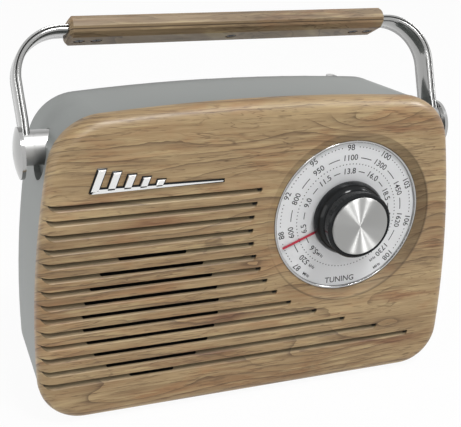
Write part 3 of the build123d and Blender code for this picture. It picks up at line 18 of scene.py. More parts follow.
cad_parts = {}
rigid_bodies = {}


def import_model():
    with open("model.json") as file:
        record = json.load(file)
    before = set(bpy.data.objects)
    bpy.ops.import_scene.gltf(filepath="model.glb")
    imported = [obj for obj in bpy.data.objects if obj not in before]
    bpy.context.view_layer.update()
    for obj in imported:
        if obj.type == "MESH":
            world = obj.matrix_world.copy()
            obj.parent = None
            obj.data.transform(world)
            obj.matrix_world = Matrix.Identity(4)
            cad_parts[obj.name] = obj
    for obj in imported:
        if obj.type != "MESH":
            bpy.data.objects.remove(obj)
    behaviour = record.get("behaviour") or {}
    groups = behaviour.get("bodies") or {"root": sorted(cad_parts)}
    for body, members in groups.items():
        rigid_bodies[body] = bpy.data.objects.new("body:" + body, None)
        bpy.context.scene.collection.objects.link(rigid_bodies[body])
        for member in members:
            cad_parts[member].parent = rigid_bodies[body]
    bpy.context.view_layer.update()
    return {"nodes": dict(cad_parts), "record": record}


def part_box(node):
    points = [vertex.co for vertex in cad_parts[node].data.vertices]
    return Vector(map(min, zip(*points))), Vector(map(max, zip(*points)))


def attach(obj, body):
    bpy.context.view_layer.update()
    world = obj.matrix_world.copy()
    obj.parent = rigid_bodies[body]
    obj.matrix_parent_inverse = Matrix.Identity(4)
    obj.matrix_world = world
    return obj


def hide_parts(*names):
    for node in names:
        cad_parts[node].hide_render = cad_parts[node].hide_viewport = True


for leftover in list(bpy.data.objects):
    bpy.data.objects.remove(leftover)
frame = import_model()
nodes = frame["nodes"]

# %% [markdown]
# Sizes are easier to read in millimetres, so one name turns them into metres. Places are read from
# the solids' own boxes, so that a piece follows its solid when the solid changes.

# %% Places read from the solids
MM = 0.001


def middle(name):
    """Centre of a solid's box."""
    low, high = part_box(name)
    return (low + high) / 2


dial_centre = middle("dial_bezel")
dial_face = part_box("dial_plate")[0].y
hub_centre = middle("handle_hubs")
panel_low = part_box("front_panel")[0]
print("dial centre", [round(v, 4) for v in dial_centre], "dial face at y", round(dial_face, 4))

# %% [markdown]
# ## Camera
#
# The radio is seen from its left front and from above, with a long lens that keeps its edges nearly
# parallel. A camera is placed by a turn about each axis in order. Here yaw, pitch and roll are
# written down and the three directions of the camera are worked out from them, which is plain to
# read and check.


# %% Camera
def add_object(name, data):
    """A new object in the scene, at the origin."""
    made = bpy.data.objects.new(name, data)
    bpy.context.scene.collection.objects.link(made)
    return made


EYE = Vector((-0.2115, -0.5198, 0.3251))
YAW, PITCH, ROLL = 0.378, 0.371, 0.041
SENSOR_WIDTH, LENS, NEAREST = 36.0, 76.4, 0.01

look = Vector((sin(YAW) * cos(PITCH), cos(YAW) * cos(PITCH), -sin(PITCH)))
level_right = Vector((cos(YAW), -sin(YAW), 0))
level_up = level_right.cross(look)
camera_right = level_right * cos(ROLL) + level_up * sin(ROLL)
camera_up = level_up * cos(ROLL) - level_right * sin(ROLL)
camera = add_object("camera", bpy.data.cameras.new("camera"))
camera.data.sensor_width, camera.data.lens, camera.data.clip_start = SENSOR_WIDTH, LENS, NEAREST
turn = Matrix((camera_right, camera_up, -look)).transposed()
camera.matrix_world = Matrix.Translation(EYE) @ turn.to_4x4()
bpy.context.scene.camera = camera
bpy.context.scene.view_settings.view_transform = "Standard"
print("camera looks along", [round(v, 3) for v in look])

# %% [markdown]
# ## Small tools for nodes
#
# A shader is a tree of nodes joined by links. Writing each node takes several lines, so one helper
# adds a node, sets its options and fills its inputs with numbers, colours or other nodes' outputs.
# Masks need a lot of arithmetic, one Math node a step. A Signal is a node's output that can be
# added, multiplied and compared like a number, so that a mask reads like its formula.


# %% Node helpers
def fill(tree, socket, value):
    """Writes a value into a socket, or links another node's output to it."""
    value = getattr(value, "socket", value)
    if isinstance(value, bpy.types.NodeSocket):
        tree.links.new(value, socket)
    else:
        socket.default_value = value


def add_node(tree, kind, inputs=(), **options):
    """Adds a node; inputs is a dictionary of socket name or number to a value or an output."""
    made = tree.nodes.new(kind)
    for name, value in options.items():
        setattr(made, name, value)
    for name, value in dict(inputs).items():
        fill(tree, made.inputs[name], value)
    return made


class Signal:
    """A node's output, or a plain number, to reckon with; every step adds a node."""

    def __init__(self, tree, socket):
        self.tree, self.socket = tree, socket

    def step(self, operation, *others, clamp=False):
        """One Math node."""
        inputs = dict(enumerate((self, *others)))
        made = add_node(self.tree, "ShaderNodeMath", inputs, operation=operation, use_clamp=clamp)
        return Signal(self.tree, made.outputs[0])

    def ramp(self, low, high, to_low=0.0, to_high=1.0):
        """Stretches the range from low to high to another, held at its ends."""
        inputs = dict(enumerate((self, low, high, to_low, to_high)))
        made = add_node(self.tree, "ShaderNodeMapRange", inputs, clamp=True)
        return Signal(self.tree, made.outputs[0])

    def larger(self, other):
        """The larger of two."""
        return self.step("MAXIMUM", other)

    def __rsub__(self, other):
        return Signal(self.tree, other) - self


SIGNS = {
    "add": "ADD", "radd": "ADD", "sub": "SUBTRACT", "mul": "MULTIPLY", "rmul": "MULTIPLY",
    "truediv": "DIVIDE", "mod": "FLOORED_MODULO", "pow": "POWER", "abs": "ABSOLUTE",
    "lt": "LESS_THAN", "gt": "GREATER_THAN",
}
for sign, operation in SIGNS.items():
    def reckon(signal, *others, operation=operation):
        """The Math node for one arithmetic sign."""
        return signal.step(operation, *others)

    setattr(Signal, f"__{sign}__", reckon)
print("arithmetic signs for nodes:", len(SIGNS))


# %% Colours and places as nodes
def blend_colours(tree, amount, first, second, how="MIX"):
    """Mixes two colours; amount, first and second are values or outputs."""
    mix = add_node(tree, "ShaderNodeMix", data_type="RGBA", blend_type=how)
    for name, value in (("Factor_Float", amount), ("A_Color", first), ("B_Color", second)):
        fill(tree, next(s for s in mix.inputs if s.identifier == name), value)
    return next(s for s in mix.outputs if s.identifier == "Result_Color")


def shaded(tree, tint, brightness):
    """A colour made darker or brighter by a number round 1."""
    grey = add_node(tree, "ShaderNodeCombineColor", dict.fromkeys(range(3), brightness)).outputs[0]
    return blend_colours(tree, 1.0, tint, grey, "MULTIPLY")


def scaled(tree, place, factor):
    """A place with all three of its numbers multiplied."""
    inputs = {0: place, "Scale": factor}
    return add_node(tree, "ShaderNodeVectorMath", inputs, operation="SCALE").outputs[0]


def three_axes(tree, place):
    """The three numbers of a place."""
    return [Signal(tree, s) for s in add_node(tree, "ShaderNodeSeparateXYZ", {0: place}).outputs]


def stretched_noise(tree, place, stretch, detail=3.0, roughness=0.55, distortion=0.0):
    """Noise with its own size along each axis, in cycles a millimetre."""
    where = add_node(tree, "ShaderNodeVectorMath", {0: place, 1: stretch}, operation="MULTIPLY")
    inputs = {
        "Vector": where.outputs[0], "Scale": 1.0, "Detail": detail, "Roughness": roughness,
        "Distortion": distortion,
    }
    return Signal(tree, add_node(tree, "ShaderNodeTexNoise", inputs).outputs["Fac"])


print("colour and place helpers ready")

# %% [markdown]
# ## Shared effects
#
# An effect that more than one material uses is a node group, built once with named inputs and
# placed in each material with its own values. All three groups here put out a colour, a height for
# relief and a roughness. They work in millimetres, so that their numbers are sizes that a maker
# would measure.


# %% Starting and ending a group
def start_group(name, inputs):
    """A shader node group with named inputs; returns its tree and its inputs."""
    group = bpy.data.node_groups.new(name, "ShaderNodeTree")
    for label, value in inputs.items():
        kind = "NodeSocketFloat"
        if isinstance(value, tuple):
            kind = "NodeSocketVector" if len(value) == 3 else "NodeSocketColor"
        group.interface.new_socket(label, in_out="INPUT", socket_type=kind).default_value = value
    return group, group.nodes.new("NodeGroupInput").outputs


def end_group(group, **outputs):
    """Gives a group its outputs."""
    for label in outputs:
        kind = "NodeSocketColor" if label == "Color" else "NodeSocketFloat"
        group.interface.new_socket(label, in_out="OUTPUT", socket_type=kind)
    add_node(group, "NodeGroupOutput", outputs)
    print(group.name, "group:", len(group.nodes), "nodes")


# %% [markdown]
# ### Wood figure
#
# The front and the grip wear a printed film. Its figure is that of flat-sawn walnut: growth rings
# that darken slowly and end in a sharp edge, thin wandering veins, and short dark pores along the
# board. The rings are contours of a height field: the height of the point on the board, pushed about
# by slow noise and raised near a knot, gives closed eye shapes there and long waves elsewhere. The
# fraction of that field gives each ring its soft side and its sharp side. A film has no depth, so
# the depth behind the panel's face is folded into the other two directions and the lines run on
# round a rolled edge.

# %% Wood figure: the board and its noises
MILLIMETRES = 1000.0
FIGURE_SEED = 37.0
FOLD_ALONG, FOLD_UP = -0.7, 0.55
wood_inputs = {
    "Vector": (0.0, 0.0, 0.0), "Pale": (0.50, 0.38, 0.24, 1.0), "Middle": (0.37, 0.26, 0.15, 1.0),
    "Dark": (0.17, 0.10, 0.06, 1.0), "Ring Spacing": 9.0, "Ring Strength": 0.5,
    "Pore Strength": 0.8,
}
wood_figure, given = start_group("wood figure", wood_inputs)
tree = wood_figure
along, depth, height = three_axes(tree, scaled(tree, given["Vector"], MILLIMETRES))
depth = depth - MILLIMETRES * panel_low.y
along, height = along + depth * FOLD_ALONG, height + depth * FOLD_UP
board = add_node(tree, "ShaderNodeCombineXYZ", {0: along, 1: FIGURE_SEED, 2: height}).outputs[0]
NOISES = {
    # cycles a millimetre along, through and up the board; detail, roughness, distortion
    "waves": ((0.0075, 0.018, 0.018), 1.5, 0.5),
    "ripple": ((0.035, 0.07, 0.08), 3.0, 0.6),
    "broken": ((0.012, 0.035, 0.06), 2.0),
    "fibres": ((0.024, 0.6, 0.60), 4.0, 0.72),
    "pores": ((0.075, 0.8, 1.00), 3.0, 0.62, 0.2),
    "dense": ((0.010, 0.04, 0.05), 2.0),
    "wander": ((0.006, 0.040, 0.050), 4.0, 0.62, 0.6),
    "bands": ((0.007, 0.035, 0.045), 4.0, 0.62, 0.6),
    "stains": ((0.016, 0.045, 0.06), 3.0, 0.6, 1.2),
    "glints": ((0.03, 0.42, 0.46), 3.0, 0.6),
}
noise = {name: stretched_noise(tree, board, *sizes) for name, sizes in NOISES.items()}
print("noises on the board:", len(noise))


# %% Wood figure: rings and knots
def hill(x, z, place, reach):
    """1 at a place on the board, fading over its own reach each way."""
    across, up = (x - place[0]) / reach[0], (z - place[1]) / reach[1]
    return ((across * across + up * up) * -1.0).step("EXPONENT")


KNOTS = (
    # place and reach in millimetres, rise of the field
    ((62, 174), (34, 10), 26), ((-20, 166), (44, 6), 9), ((98, 34), (44, 14), 30),
    ((-8, 146), (36, 8), -9), ((-2, 88), (14, 5), 9), ((-70, 14), (46, 9), 17),
    ((30, 22), (36, 10), 14), ((118, 96), (16, 18), -12),
)
WAVE_RISE, RIPPLE_RISE = 46.0, 5.0
KNOT_SHOWS, BREAK_SHIFT = 0.09, 0.02
RING_SHOWS, EDGE_SHOWS = (0.38, 0.56), (0.40, 0.54)
SOFT_SIDE, SHARP_EDGE = 3.0, (0.88, 0.98)
field = height + noise["waves"] * WAVE_RISE + noise["ripple"] * RIPPLE_RISE
near_knot = 0.0
for place, reach, rise in KNOTS:
    knot = hill(along, height, place, reach)
    field = field + knot * rise
    near_knot = knot.larger(near_knot)
ring = (field / given["Ring Spacing"]).step("FRACT")
broken = noise["broken"] - BREAK_SHIFT + near_knot * KNOT_SHOWS
rings = ring**SOFT_SIDE * broken.ramp(*RING_SHOWS)
edges = ring.ramp(*SHARP_EDGE) * broken.ramp(*EDGE_SHOWS)
print("wood figure field with", len(KNOTS), "knots")

# %% [markdown]
# On top of the rings come the finer layers. Fibres are very long thin noise. Pores are the same
# noise shorter, kept only at its peaks, and they also press into the surface. Veins are contours of
# a slow noise, thin and wandering. Stains are wide patches that redden the wood, glints are pale
# streaks, and knot marks are small frayed blots where a knot only just reaches the surface. The
# colour is laid on in washes, each with its mask, its share and its tint.


# %% Wood figure: pores, veins, stains and marks
def contour(height_map, level, width):
    """A thin line where a noise crosses a level."""
    return abs(height_map - level).ramp(width, width * 0.25)


KNOT_MARKS = (
    # place and reach in millimetres
    ((-103, 137), (17, 3.0)), ((-20, 55), (14, 3.4)), ((100, 55), (22, 2.2)),
    ((88, 165), (20, 2.2)), ((90, 24), (26, 2.6)), ((-62, 122), (20, 3.0)), ((119, 90), (9, 5)),
    ((-40, 34), (24, 2.6)),
)
FRAY = 12.0
PORE_CROWDS, PORE_PEAKS = (0.35, 0.65, -0.05, 0.035), (0.575, 0.655)
VEINS, VEIN_BREAKS = ((0.5, 0.010), (0.43, 0.006)), (0.40, 0.60, 0.15, 1.0)
STAIN_PEAKS, STAIN_SHARE, GLINT_PEAKS = (0.50, 0.70), 0.8, (0.56, 0.66)
frayed_up = height + noise["ripple"] * FRAY - FRAY / 2
knot_marks = 0.0
for place, reach in KNOT_MARKS:
    knot_marks = hill(along, frayed_up, place, reach).larger(knot_marks)
fibres = noise["fibres"]
pores = noise["pores"] + noise["dense"].ramp(*PORE_CROWDS)
pores = pores.ramp(*PORE_PEAKS) * given["Pore Strength"]
wide_vein, thin_vein = (contour(noise["wander"], *vein) for vein in VEINS)
veins = wide_vein.larger(thin_vein) * noise["ripple"].ramp(*VEIN_BREAKS)
stains = noise["stains"].ramp(*STAIN_PEAKS) * STAIN_SHARE
print("knot marks:", len(KNOT_MARKS))

# %% Wood figure: washes of colour
TONES, BAND_SHARE, FIBRE_SHARE = (0.36, 0.64), 0.56, 0.44
BLOT_FIBRES, FILM_GLOSS, FIBRE_RELIEF = (0.40, 0.56, 0.25, 1.0), (0.2, 0.8, 0.36, 0.52), 0.25
RED_CAST, KNOT_BROWN = (0.92, 0.74, 0.66, 1), (0.13, 0.055, 0.032, 1)
PALE_STREAK = (0.60, 0.47, 0.25, 1)
tone = noise["bands"].ramp(*TONES) * BAND_SHARE + fibres.ramp(*TONES) * FIBRE_SHARE
colour = blend_colours(tree, tone, given["Pale"], given["Middle"])
reddened = blend_colours(tree, 1.0, colour, RED_CAST, "MULTIPLY")
washes = (
    # mask, share, tint
    (stains.larger(knot_marks), 1.0, reddened),
    (knot_marks * fibres.ramp(*BLOT_FIBRES), 0.72, KNOT_BROWN),
    (noise["glints"].ramp(*GLINT_PEAKS), 0.38, PALE_STREAK),
    (rings * given["Ring Strength"], 0.75, given["Dark"]),
    (edges * given["Ring Strength"], 0.70, given["Dark"]),
    (veins, 0.50, given["Dark"]),
    (pores, 0.58, given["Dark"]),
)
for mask, share, tint in washes:
    colour = blend_colours(tree, mask * share, colour, tint)
relief = fibres * FIBRE_RELIEF - pores
end_group(wood_figure, Color=colour, Height=relief, Roughness=fibres.ramp(*FILM_GLOSS))

# %% [markdown]
# ### Moulded skin
#
# Paint and moulded plastic are never one flat colour. There is a slow drift of tone, a fine
# orange-peel that breaks up reflections, and here and there a speck of dust. One group gives all
# three, and each material chooses how strong they are.

# %% Moulded skin group
skin_inputs = {
    "Vector": (0.0, 0.0, 0.0), "Tint": (0.5, 0.5, 0.5, 1.0), "Drift": 0.05, "Specks": 0.1,
    "Peel Size": 1.4, "Roughness": 0.4,
}
DUST, DUST_PEAKS = (0.55, 0.54, 0.52, 1), (0.68, 0.74)
DRIFT_IN_TONE, DRIFT_IN_GLOSS = 2.0, 1.2
moulded_skin, given = start_group("moulded skin", skin_inputs)
tree = moulded_skin
place = scaled(tree, given["Vector"], MILLIMETRES)
drift = (stretched_noise(tree, place, (0.012, 0.012, 0.016)) - 0.5) * given["Drift"]
colour = shaded(tree, given["Tint"], drift * DRIFT_IN_TONE + 1.0)
specks = stretched_noise(tree, place, (1.9, 1.9, 1.9), 1.0).ramp(*DUST_PEAKS) * given["Specks"]
colour = blend_colours(tree, specks, colour, DUST)
peel = stretched_noise(tree, scaled(tree, place, given["Peel Size"]), (1, 1, 1), 2.0, 0.5)
gloss = (drift * DRIFT_IN_GLOSS).step("ADD", given["Roughness"], clamp=True)
end_group(moulded_skin, Color=colour, Height=peel, Roughness=gloss)

# %% [markdown]
# ### Worked metal
#
# Plated, brushed and turned metal differ in the direction of their scratches. The group stretches
# noise along one axis by a vector input, so the same group brushes a strap along its length or
# leaves a drum nearly plain. Smudges from handling vary the gloss.

# %% Worked metal group
metal_inputs = {
    "Vector": (0.0, 0.0, 0.0), "Tint": (0.6, 0.6, 0.6, 1.0), "Stretch": (0.2, 3.0, 3.0),
    "Scratch": 0.05, "Smudge": 0.06, "Roughness": 0.15,
}
SMOOTHEST = 0.03
worked_metal, given = start_group("worked metal", metal_inputs)
tree = worked_metal
place = scaled(tree, given["Vector"], MILLIMETRES)
scratch = stretched_noise(tree, place, given["Stretch"], 3.0, 0.5)
scratched = (scratch - 0.5) * given["Scratch"]
smudge = (stretched_noise(tree, place, (0.06, 0.06, 0.06)) - 0.4) * given["Smudge"]
gloss = (smudge + given["Roughness"] + scratched).larger(SMOOTHEST)
colour = shaded(tree, given["Tint"], scratched + 1.0)
end_group(worked_metal, Color=colour, Height=scratch, Roughness=gloss)

# %% [markdown]
# ## Materials
#
# Each material holds its own Principled shader and one of the groups. The helper makes the shader,
# the Object coordinates that pin a pattern to the radio, and the Bump node through which the group's
# height turns into relief. Numbers that are the same all over stay on the shader's own sockets.


# %% Material helpers
def make_material(name, group, values, bump=0.1, bump_depth=0.05, **constants):
    """A material whose colour, gloss and relief come from a group; constants go on the shader."""
    material = bpy.data.materials.new(name)
    material.use_nodes = True
    tree = material.node_tree
    tree.nodes.clear()
    where = tree.nodes.new("ShaderNodeTexCoord").outputs["Object"]
    effect = add_node(tree, "ShaderNodeGroup", node_tree=group)
    for socket, value in {"Vector": where, **values}.items():
        fill(tree, effect.inputs[socket], value)
    relief = {"Strength": bump, "Distance": bump_depth * MM, "Height": effect.outputs["Height"]}
    surface = {
        "Base Color": effect.outputs["Color"], "Roughness": effect.outputs["Roughness"],
        "Normal": add_node(tree, "ShaderNodeBump", relief).outputs[0],
    }
    shader = add_node(tree, "ShaderNodeBsdfPrincipled", surface)
    add_node(tree, "ShaderNodeOutputMaterial", {"Surface": shader.outputs[0]})
    for socket, value in constants.items():
        shader.inputs[socket.replace("_", " ")].default_value = value
    return material


def shader_of(material):
    """A material's Principled shader."""
    return material.node_tree.nodes["Principled BSDF"]


def object_place(material):
    """A material's Object coordinates, in metres."""
    return material.node_tree.nodes["Texture Coordinate"].outputs["Object"]


def darken(material, mask, tint):
    """Lays a tint over the material's colour where the mask is."""
    base = shader_of(material).inputs["Base Color"]
    tree = material.node_tree
    fill(tree, base, blend_colours(tree, mask, base.links[0].from_socket, tint))


print("material helpers ready")

# %% Walnut film on the panel and on the grip
finishes = {
    "panel_wood": make_material(
        "walnut film", wood_figure,
        {"Pale": (0.50, 0.365, 0.195, 1), "Middle": (0.265, 0.168, 0.082, 1),
         "Dark": (0.085, 0.046, 0.025, 1), "Ring Strength": 0.62},
        bump=0.35, bump_depth=0.06, Specular_IOR_Level=0.30, Coat_Roughness=0.28,
    ),
    "grip_brown": make_material(
        "walnut film on the grip", wood_figure,
        {"Pale": (0.36, 0.262, 0.152, 1), "Middle": (0.205, 0.142, 0.080, 1),
         "Dark": (0.065, 0.040, 0.023, 1), "Ring Spacing": 6.0},
        bump=0.35, bump_depth=0.06, Specular_IOR_Level=0.18,
    ),
}
print("wood finishes:", len(finishes))

# %% [markdown]
# Under each louvre's lip the slope gets painted shade, darkest as a painted dark line right under the
# lip, and each groove's right end gets painted shade as a small black pit. All are masks of the place
# on the panel, worked out from Object coordinates.
# The louvres are evenly spaced, so the distance below the nearest lip is a modulo of the height. The
# upper rows end on a circle round the dial, where half the chord at their height gives the place,
# and the rows below that circle get longer by one step each.

# %% Louvres: where a point lies
TOP_LIP, LIP_PITCH, GROOVE_TALL, GROOVE_DEEP, LOUVRES = 137.0, 8.3, 3.6, 3.0, 14
ABOVE_TOP, BELOW_LAST = 0.2, 0.4
DIAL_RING, LOW_START, LOW_STEP = 62.3, 2.8, 23.5
panel_wood = finishes["panel_wood"]
wood = panel_wood.node_tree
across, back, up = three_axes(wood, scaled(wood, object_place(panel_wood), MILLIMETRES))
behind = back - MILLIMETRES * panel_low.y
below_top = TOP_LIP - up
below_lip = below_top % LIP_PITCH
rows_tall = LIP_PITCH * (LOUVRES - 1) + GROOVE_TALL
in_rows = (below_top > -ABOVE_TOP) * (below_top < rows_tall + BELOW_LAST)
off_dial_x = across - MILLIMETRES * dial_centre.x
off_dial_z = up - MILLIMETRES * dial_centre.z
drop = abs(off_dial_z + below_lip - GROOVE_TALL / 2)
half_chord = (DIAL_RING**2 - drop * drop).step("SQRT")
low_row = ((drop - DIAL_RING) / LIP_PITCH).step("FLOOR")
row_end = (drop > DIAL_RING) * (low_row * LOW_STEP + LOW_START) - half_chord
past_end = off_dial_x - row_end
slope_depth = below_lip.ramp(0.0, GROOVE_TALL, GROOVE_DEEP, 0.0)
past_slope = behind - slope_depth
print("louvre rows:", LOUVRES, "over mm:", round(rows_tall, 1))

# %% [markdown]
# Each mask fades in over a range of millimetres: painted shade begins just behind the face, darker
# painted shade only deep in the groove, and a painted shade line runs on from the lip round the
# panel's left edge. The sound slots lie behind the slope, inside a circle in front of the
# loudspeaker, and their walls are painted near black as the shade inside them.

# %% Louvres: painted shade under the lips, in the pits and in the slots
GROOVE_EDGE = (GROOVE_TALL + 0.3, GROOVE_TALL - 0.6)
ON_SLOPE, PAST_SLOPE, END_MARGIN = (0.40, 0.15), (0.12, 0.30), 0.2
# Ranges behind the face for painted shade under the lip, then for darker painted shade deep in the
# groove.
SHADE_FROM, DEEP_SHADE_FROM = (0.15, 0.9), (1.6, GROOVE_DEEP - 0.5)
# A painted shade line that carries each lip's shadow round the panel's left rim.
RIM_SHADE_HEIGHT, RIM_SHADE_FADE, RIM_SHADE_ENDS, RIM_SHADE_REACH = 0.35, (0.7, 0.3), (8.0, 4.0), 12
RIM_SHADE_FROM = (GROOVE_DEEP - 0.1, GROOVE_DEEP + 0.1)
# Painted shade in the end pit of each groove.
PIT_SHADE_FADE, PIT_SHADE_FROM = (-3.4, -2.2), (0.8, 1.4)
SPEAKER_X, SPEAKER_Z, SPEAKER_RADIUS = -65.3, 66.5, 43.5
in_groove = in_rows * below_lip.ramp(*GROOVE_EDGE)
in_groove = in_groove * past_slope.ramp(*ON_SLOPE) * (past_end < END_MARGIN)
rim_shade_line = abs(below_lip - RIM_SHADE_HEIGHT).ramp(*RIM_SHADE_FADE) * in_rows * behind.ramp(*RIM_SHADE_ENDS)
rim_shade_line = rim_shade_line * behind.ramp(*RIM_SHADE_FROM)
rim_shade_line = rim_shade_line * (across < MILLIMETRES * panel_low.x + RIM_SHADE_REACH)
off_x, off_z = across - SPEAKER_X, up - SPEAKER_Z
in_slot = (off_x * off_x + off_z * off_z < SPEAKER_RADIUS**2) * (below_lip < GROOVE_TALL)
# Every wash below is painted shade; the last one paints the slot walls near black.
louvre_shades = (
    # mask, tint
    (in_groove * behind.ramp(*SHADE_FROM) * 0.68, (0.092, 0.082, 0.050, 1)),
    (in_groove * behind.ramp(*DEEP_SHADE_FROM) * 0.88, (0.014, 0.010, 0.006, 1)),
    (rim_shade_line * 0.55, (0.03, 0.02, 0.012, 1)),
    (in_groove * past_end.ramp(*PIT_SHADE_FADE) * behind.ramp(*PIT_SHADE_FROM), (0.004, 0.004, 0.003, 1)),
    (in_slot * past_slope.ramp(*PAST_SLOPE), (0.003, 0.003, 0.003, 1)),
)
for mask, tint in louvre_shades:
    darken(panel_wood, mask, tint)
print("washes in the louvres:", len(louvre_shades))

# %% [markdown]
# The grip's cover and base meet in a thin line, and painted shade along it stands for the shade in
# the gap. It lies in the plane between the two solids, across the direction in which the handle
# leans, so the line is found from their own points.

# %% Painted shade along the seam round the grip
TILT = radians(26)
SEAM_FADE, SEAM_DARK = (0.4, 0.16), 0.8
lean_way = Vector((0, sin(TILT), cos(TILT)))
seam = MILLIMETRES * max(lean_way.dot(vertex.co) for vertex in nodes["grip_base"].data.vertices)
grip_brown = finishes["grip_brown"]
grip = grip_brown.node_tree
up_the_lean = add_node(
    grip, "ShaderNodeVectorMath", {0: object_place(grip_brown), 1: MILLIMETRES * lean_way},
    operation="DOT_PRODUCT",
)
off_seam = abs(Signal(grip, up_the_lean.outputs["Value"]) - seam)
# Painted shade along the seam between cover and base.
darken(grip_brown, off_seam.ramp(*SEAM_FADE) * SEAM_DARK, (0.030, 0.018, 0.011, 1))
print("grip seam at", round(seam, 2), "mm up the lean")

# %% [markdown]
# The dial sits in a shallow bevelled recess. Its outer edge carries a thin line of painted shade,
# more below and to the right, and the bevel on the right gets painted shade and is duller. The film's
# lacquer is worn off there and in the grooves.

# %% Painted shade on the bevel of the dial recess, and lacquer
RECESS_RADIUS = 53.5
BEVEL_EDGE, BEVEL_SIDE = (RECESS_RADIUS + 0.2, RECESS_RADIUS - 0.4), (8.0, 46.0)
RIM_FADE, LOW_SIDE = (0.9, 0.2), (-16.0, 16.0, 0.1, 1.0)
BEVEL_DARK, LACQUER, DULLER = 0.5, 0.09, 0.35
off_dial = (off_dial_x * off_dial_x + off_dial_z * off_dial_z).step("SQRT")
low_side = (off_dial_x * 0.6 - off_dial_z * 0.8).ramp(*LOW_SIDE)
edge_shade_line = abs(off_dial - RECESS_RADIUS).ramp(*RIM_FADE) * low_side
bevel_shade = off_dial.ramp(*BEVEL_EDGE) * off_dial_x.ramp(*BEVEL_SIDE)
# Painted shade on the right of the bevel and along the recess's outer edge.
darken(panel_wood, bevel_shade * BEVEL_DARK, (0.09, 0.065, 0.04, 1))
darken(panel_wood, edge_shade_line * BEVEL_DARK, (0.05, 0.03, 0.018, 1))
dull = (in_groove * behind.ramp(0.1, 0.5)).larger(bevel_shade)
film = shader_of(panel_wood).inputs
fill(wood, film["Coat Weight"], LACQUER - dull * LACQUER)
film_gloss = film["Roughness"].links[0].from_socket
fill(wood, film["Roughness"], (dull * DULLER).step("ADD", film_gloss, clamp=True))
print("recess radius in mm:", RECESS_RADIUS)

# %% [markdown]
# The tub, the rear cover and the battery door are painted the same satin grey-green. Knobs are
# polished black, rubber and sockets are dull black, and the parts inside have the plain colours that
# such parts are made in.

# %% Paint, plastic and rubber
SKINS = {
    # slot: tint, gloss, drift, specks, bump
    "cabinet_grey": ((0.184, 0.200, 0.191, 1), 0.38, 0.05, 0.05, 0.12),
    "knob_black": ((0.010, 0.011, 0.012, 1), 0.11, 0.10, 0.03, 0.02),
    "dial_print": ((0.76, 0.765, 0.775, 1), 0.34, 0.04, 0.0, 0.02),
    "pointer_red": ((0.46, 0.010, 0.040, 1), 0.3, 0.05, 0.0, 0.02),
    "foot_rubber": ((0.020, 0.020, 0.021, 1), 0.7, 0.2, 0.3, 0.3),
    "cone_paper": ((0.03, 0.03, 0.03, 1), 0.85, 0.3, 0.1, 0.6),
    "board_green": ((0.05, 0.16, 0.06, 1), 0.3, 0.15, 0.05, 0.2),
    "component_body": ((0.03, 0.03, 0.03, 1), 0.5, 0.3, 0.1, 0.1),
    "nylon_white": ((0.55, 0.53, 0.48, 1), 0.45, 0.06, 0.0, 0.1),
    "cell_sleeve": ((0.10, 0.13, 0.20, 1), 0.25, 0.1, 0.05, 0.05),
    "socket_black": ((0.015, 0.015, 0.015, 1), 0.45, 0.2, 0.2, 0.15),
}
for slot, (tint, gloss, drift, specks, bump) in SKINS.items():
    values = {"Tint": tint, "Roughness": gloss, "Drift": drift, "Specks": specks}
    finishes[slot] = make_material(slot.replace("_", " "), moulded_skin, values, bump=bump)
shader_of(finishes["knob_black"]).inputs["Specular IOR Level"].default_value = 0.18
print("moulded finishes:", len(SKINS))

# %% [markdown]
# Metals reflect the whole room, so their tint is kept below white. The handle and the bezel are
# bright plate, the lacquered disc in the knob is turned aluminium, and screws, springs and the
# loudspeaker frame are duller. The drums at the handle's pivots have a satin plate.


# %% Metals
def variant(material, name, socket, value):
    """A copy of a finish with one value of its group changed."""
    copied = material.copy()
    copied.name = name
    copied.node_tree.nodes["Group"].inputs[socket].default_value = value
    return copied


METALS = {
    # slot: tint, roughness, scratch direction, scratch, smudge
    "chrome_plate": ((0.41, 0.41, 0.405, 1), 0.12, (0.25, 2.5, 2.5), 0.05, 0.05),
    "spun_cap": ((0.70, 0.70, 0.69, 1), 0.28, (3.0, 3.0, 3.0), 0.03, 0.04),
    "zinc_steel": ((0.50, 0.50, 0.49, 1), 0.34, (2.0, 2.0, 2.0), 0.10, 0.10),
    "contact_nickel": ((0.58, 0.56, 0.52, 1), 0.25, (0.4, 3.0, 3.0), 0.10, 0.10),
    "coil_copper": ((0.55, 0.25, 0.12, 1), 0.3, (6.0, 0.3, 0.3), 0.25, 0.10),
    "magnet_ferrite": ((0.06, 0.06, 0.06, 1), 0.55, (1.0, 1.0, 1.0), 0.20, 0.10),
}
for slot, (tint, *numbers) in METALS.items():
    values = {"Tint": tint, **dict(zip(("Roughness", "Stretch", "Scratch", "Smudge"), numbers))}
    name = slot.replace("_", " ")
    finishes[slot] = make_material(name, worked_metal, values, bump=0.05, Metallic=1.0)
shader_of(finishes["magnet_ferrite"]).inputs["Metallic"].default_value = 0.3
satin_plate = variant(finishes["chrome_plate"], "satin plate", "Roughness", 0.36)
print("metal finishes:", len(METALS) + 1)

# %% [markdown]
# The loudspeaker cloth is an open weave, two sets of threads that pass over and under each other.
# Two sine waves across the cloth, multiplied, give the crossings, and the holes between them are
# darker.

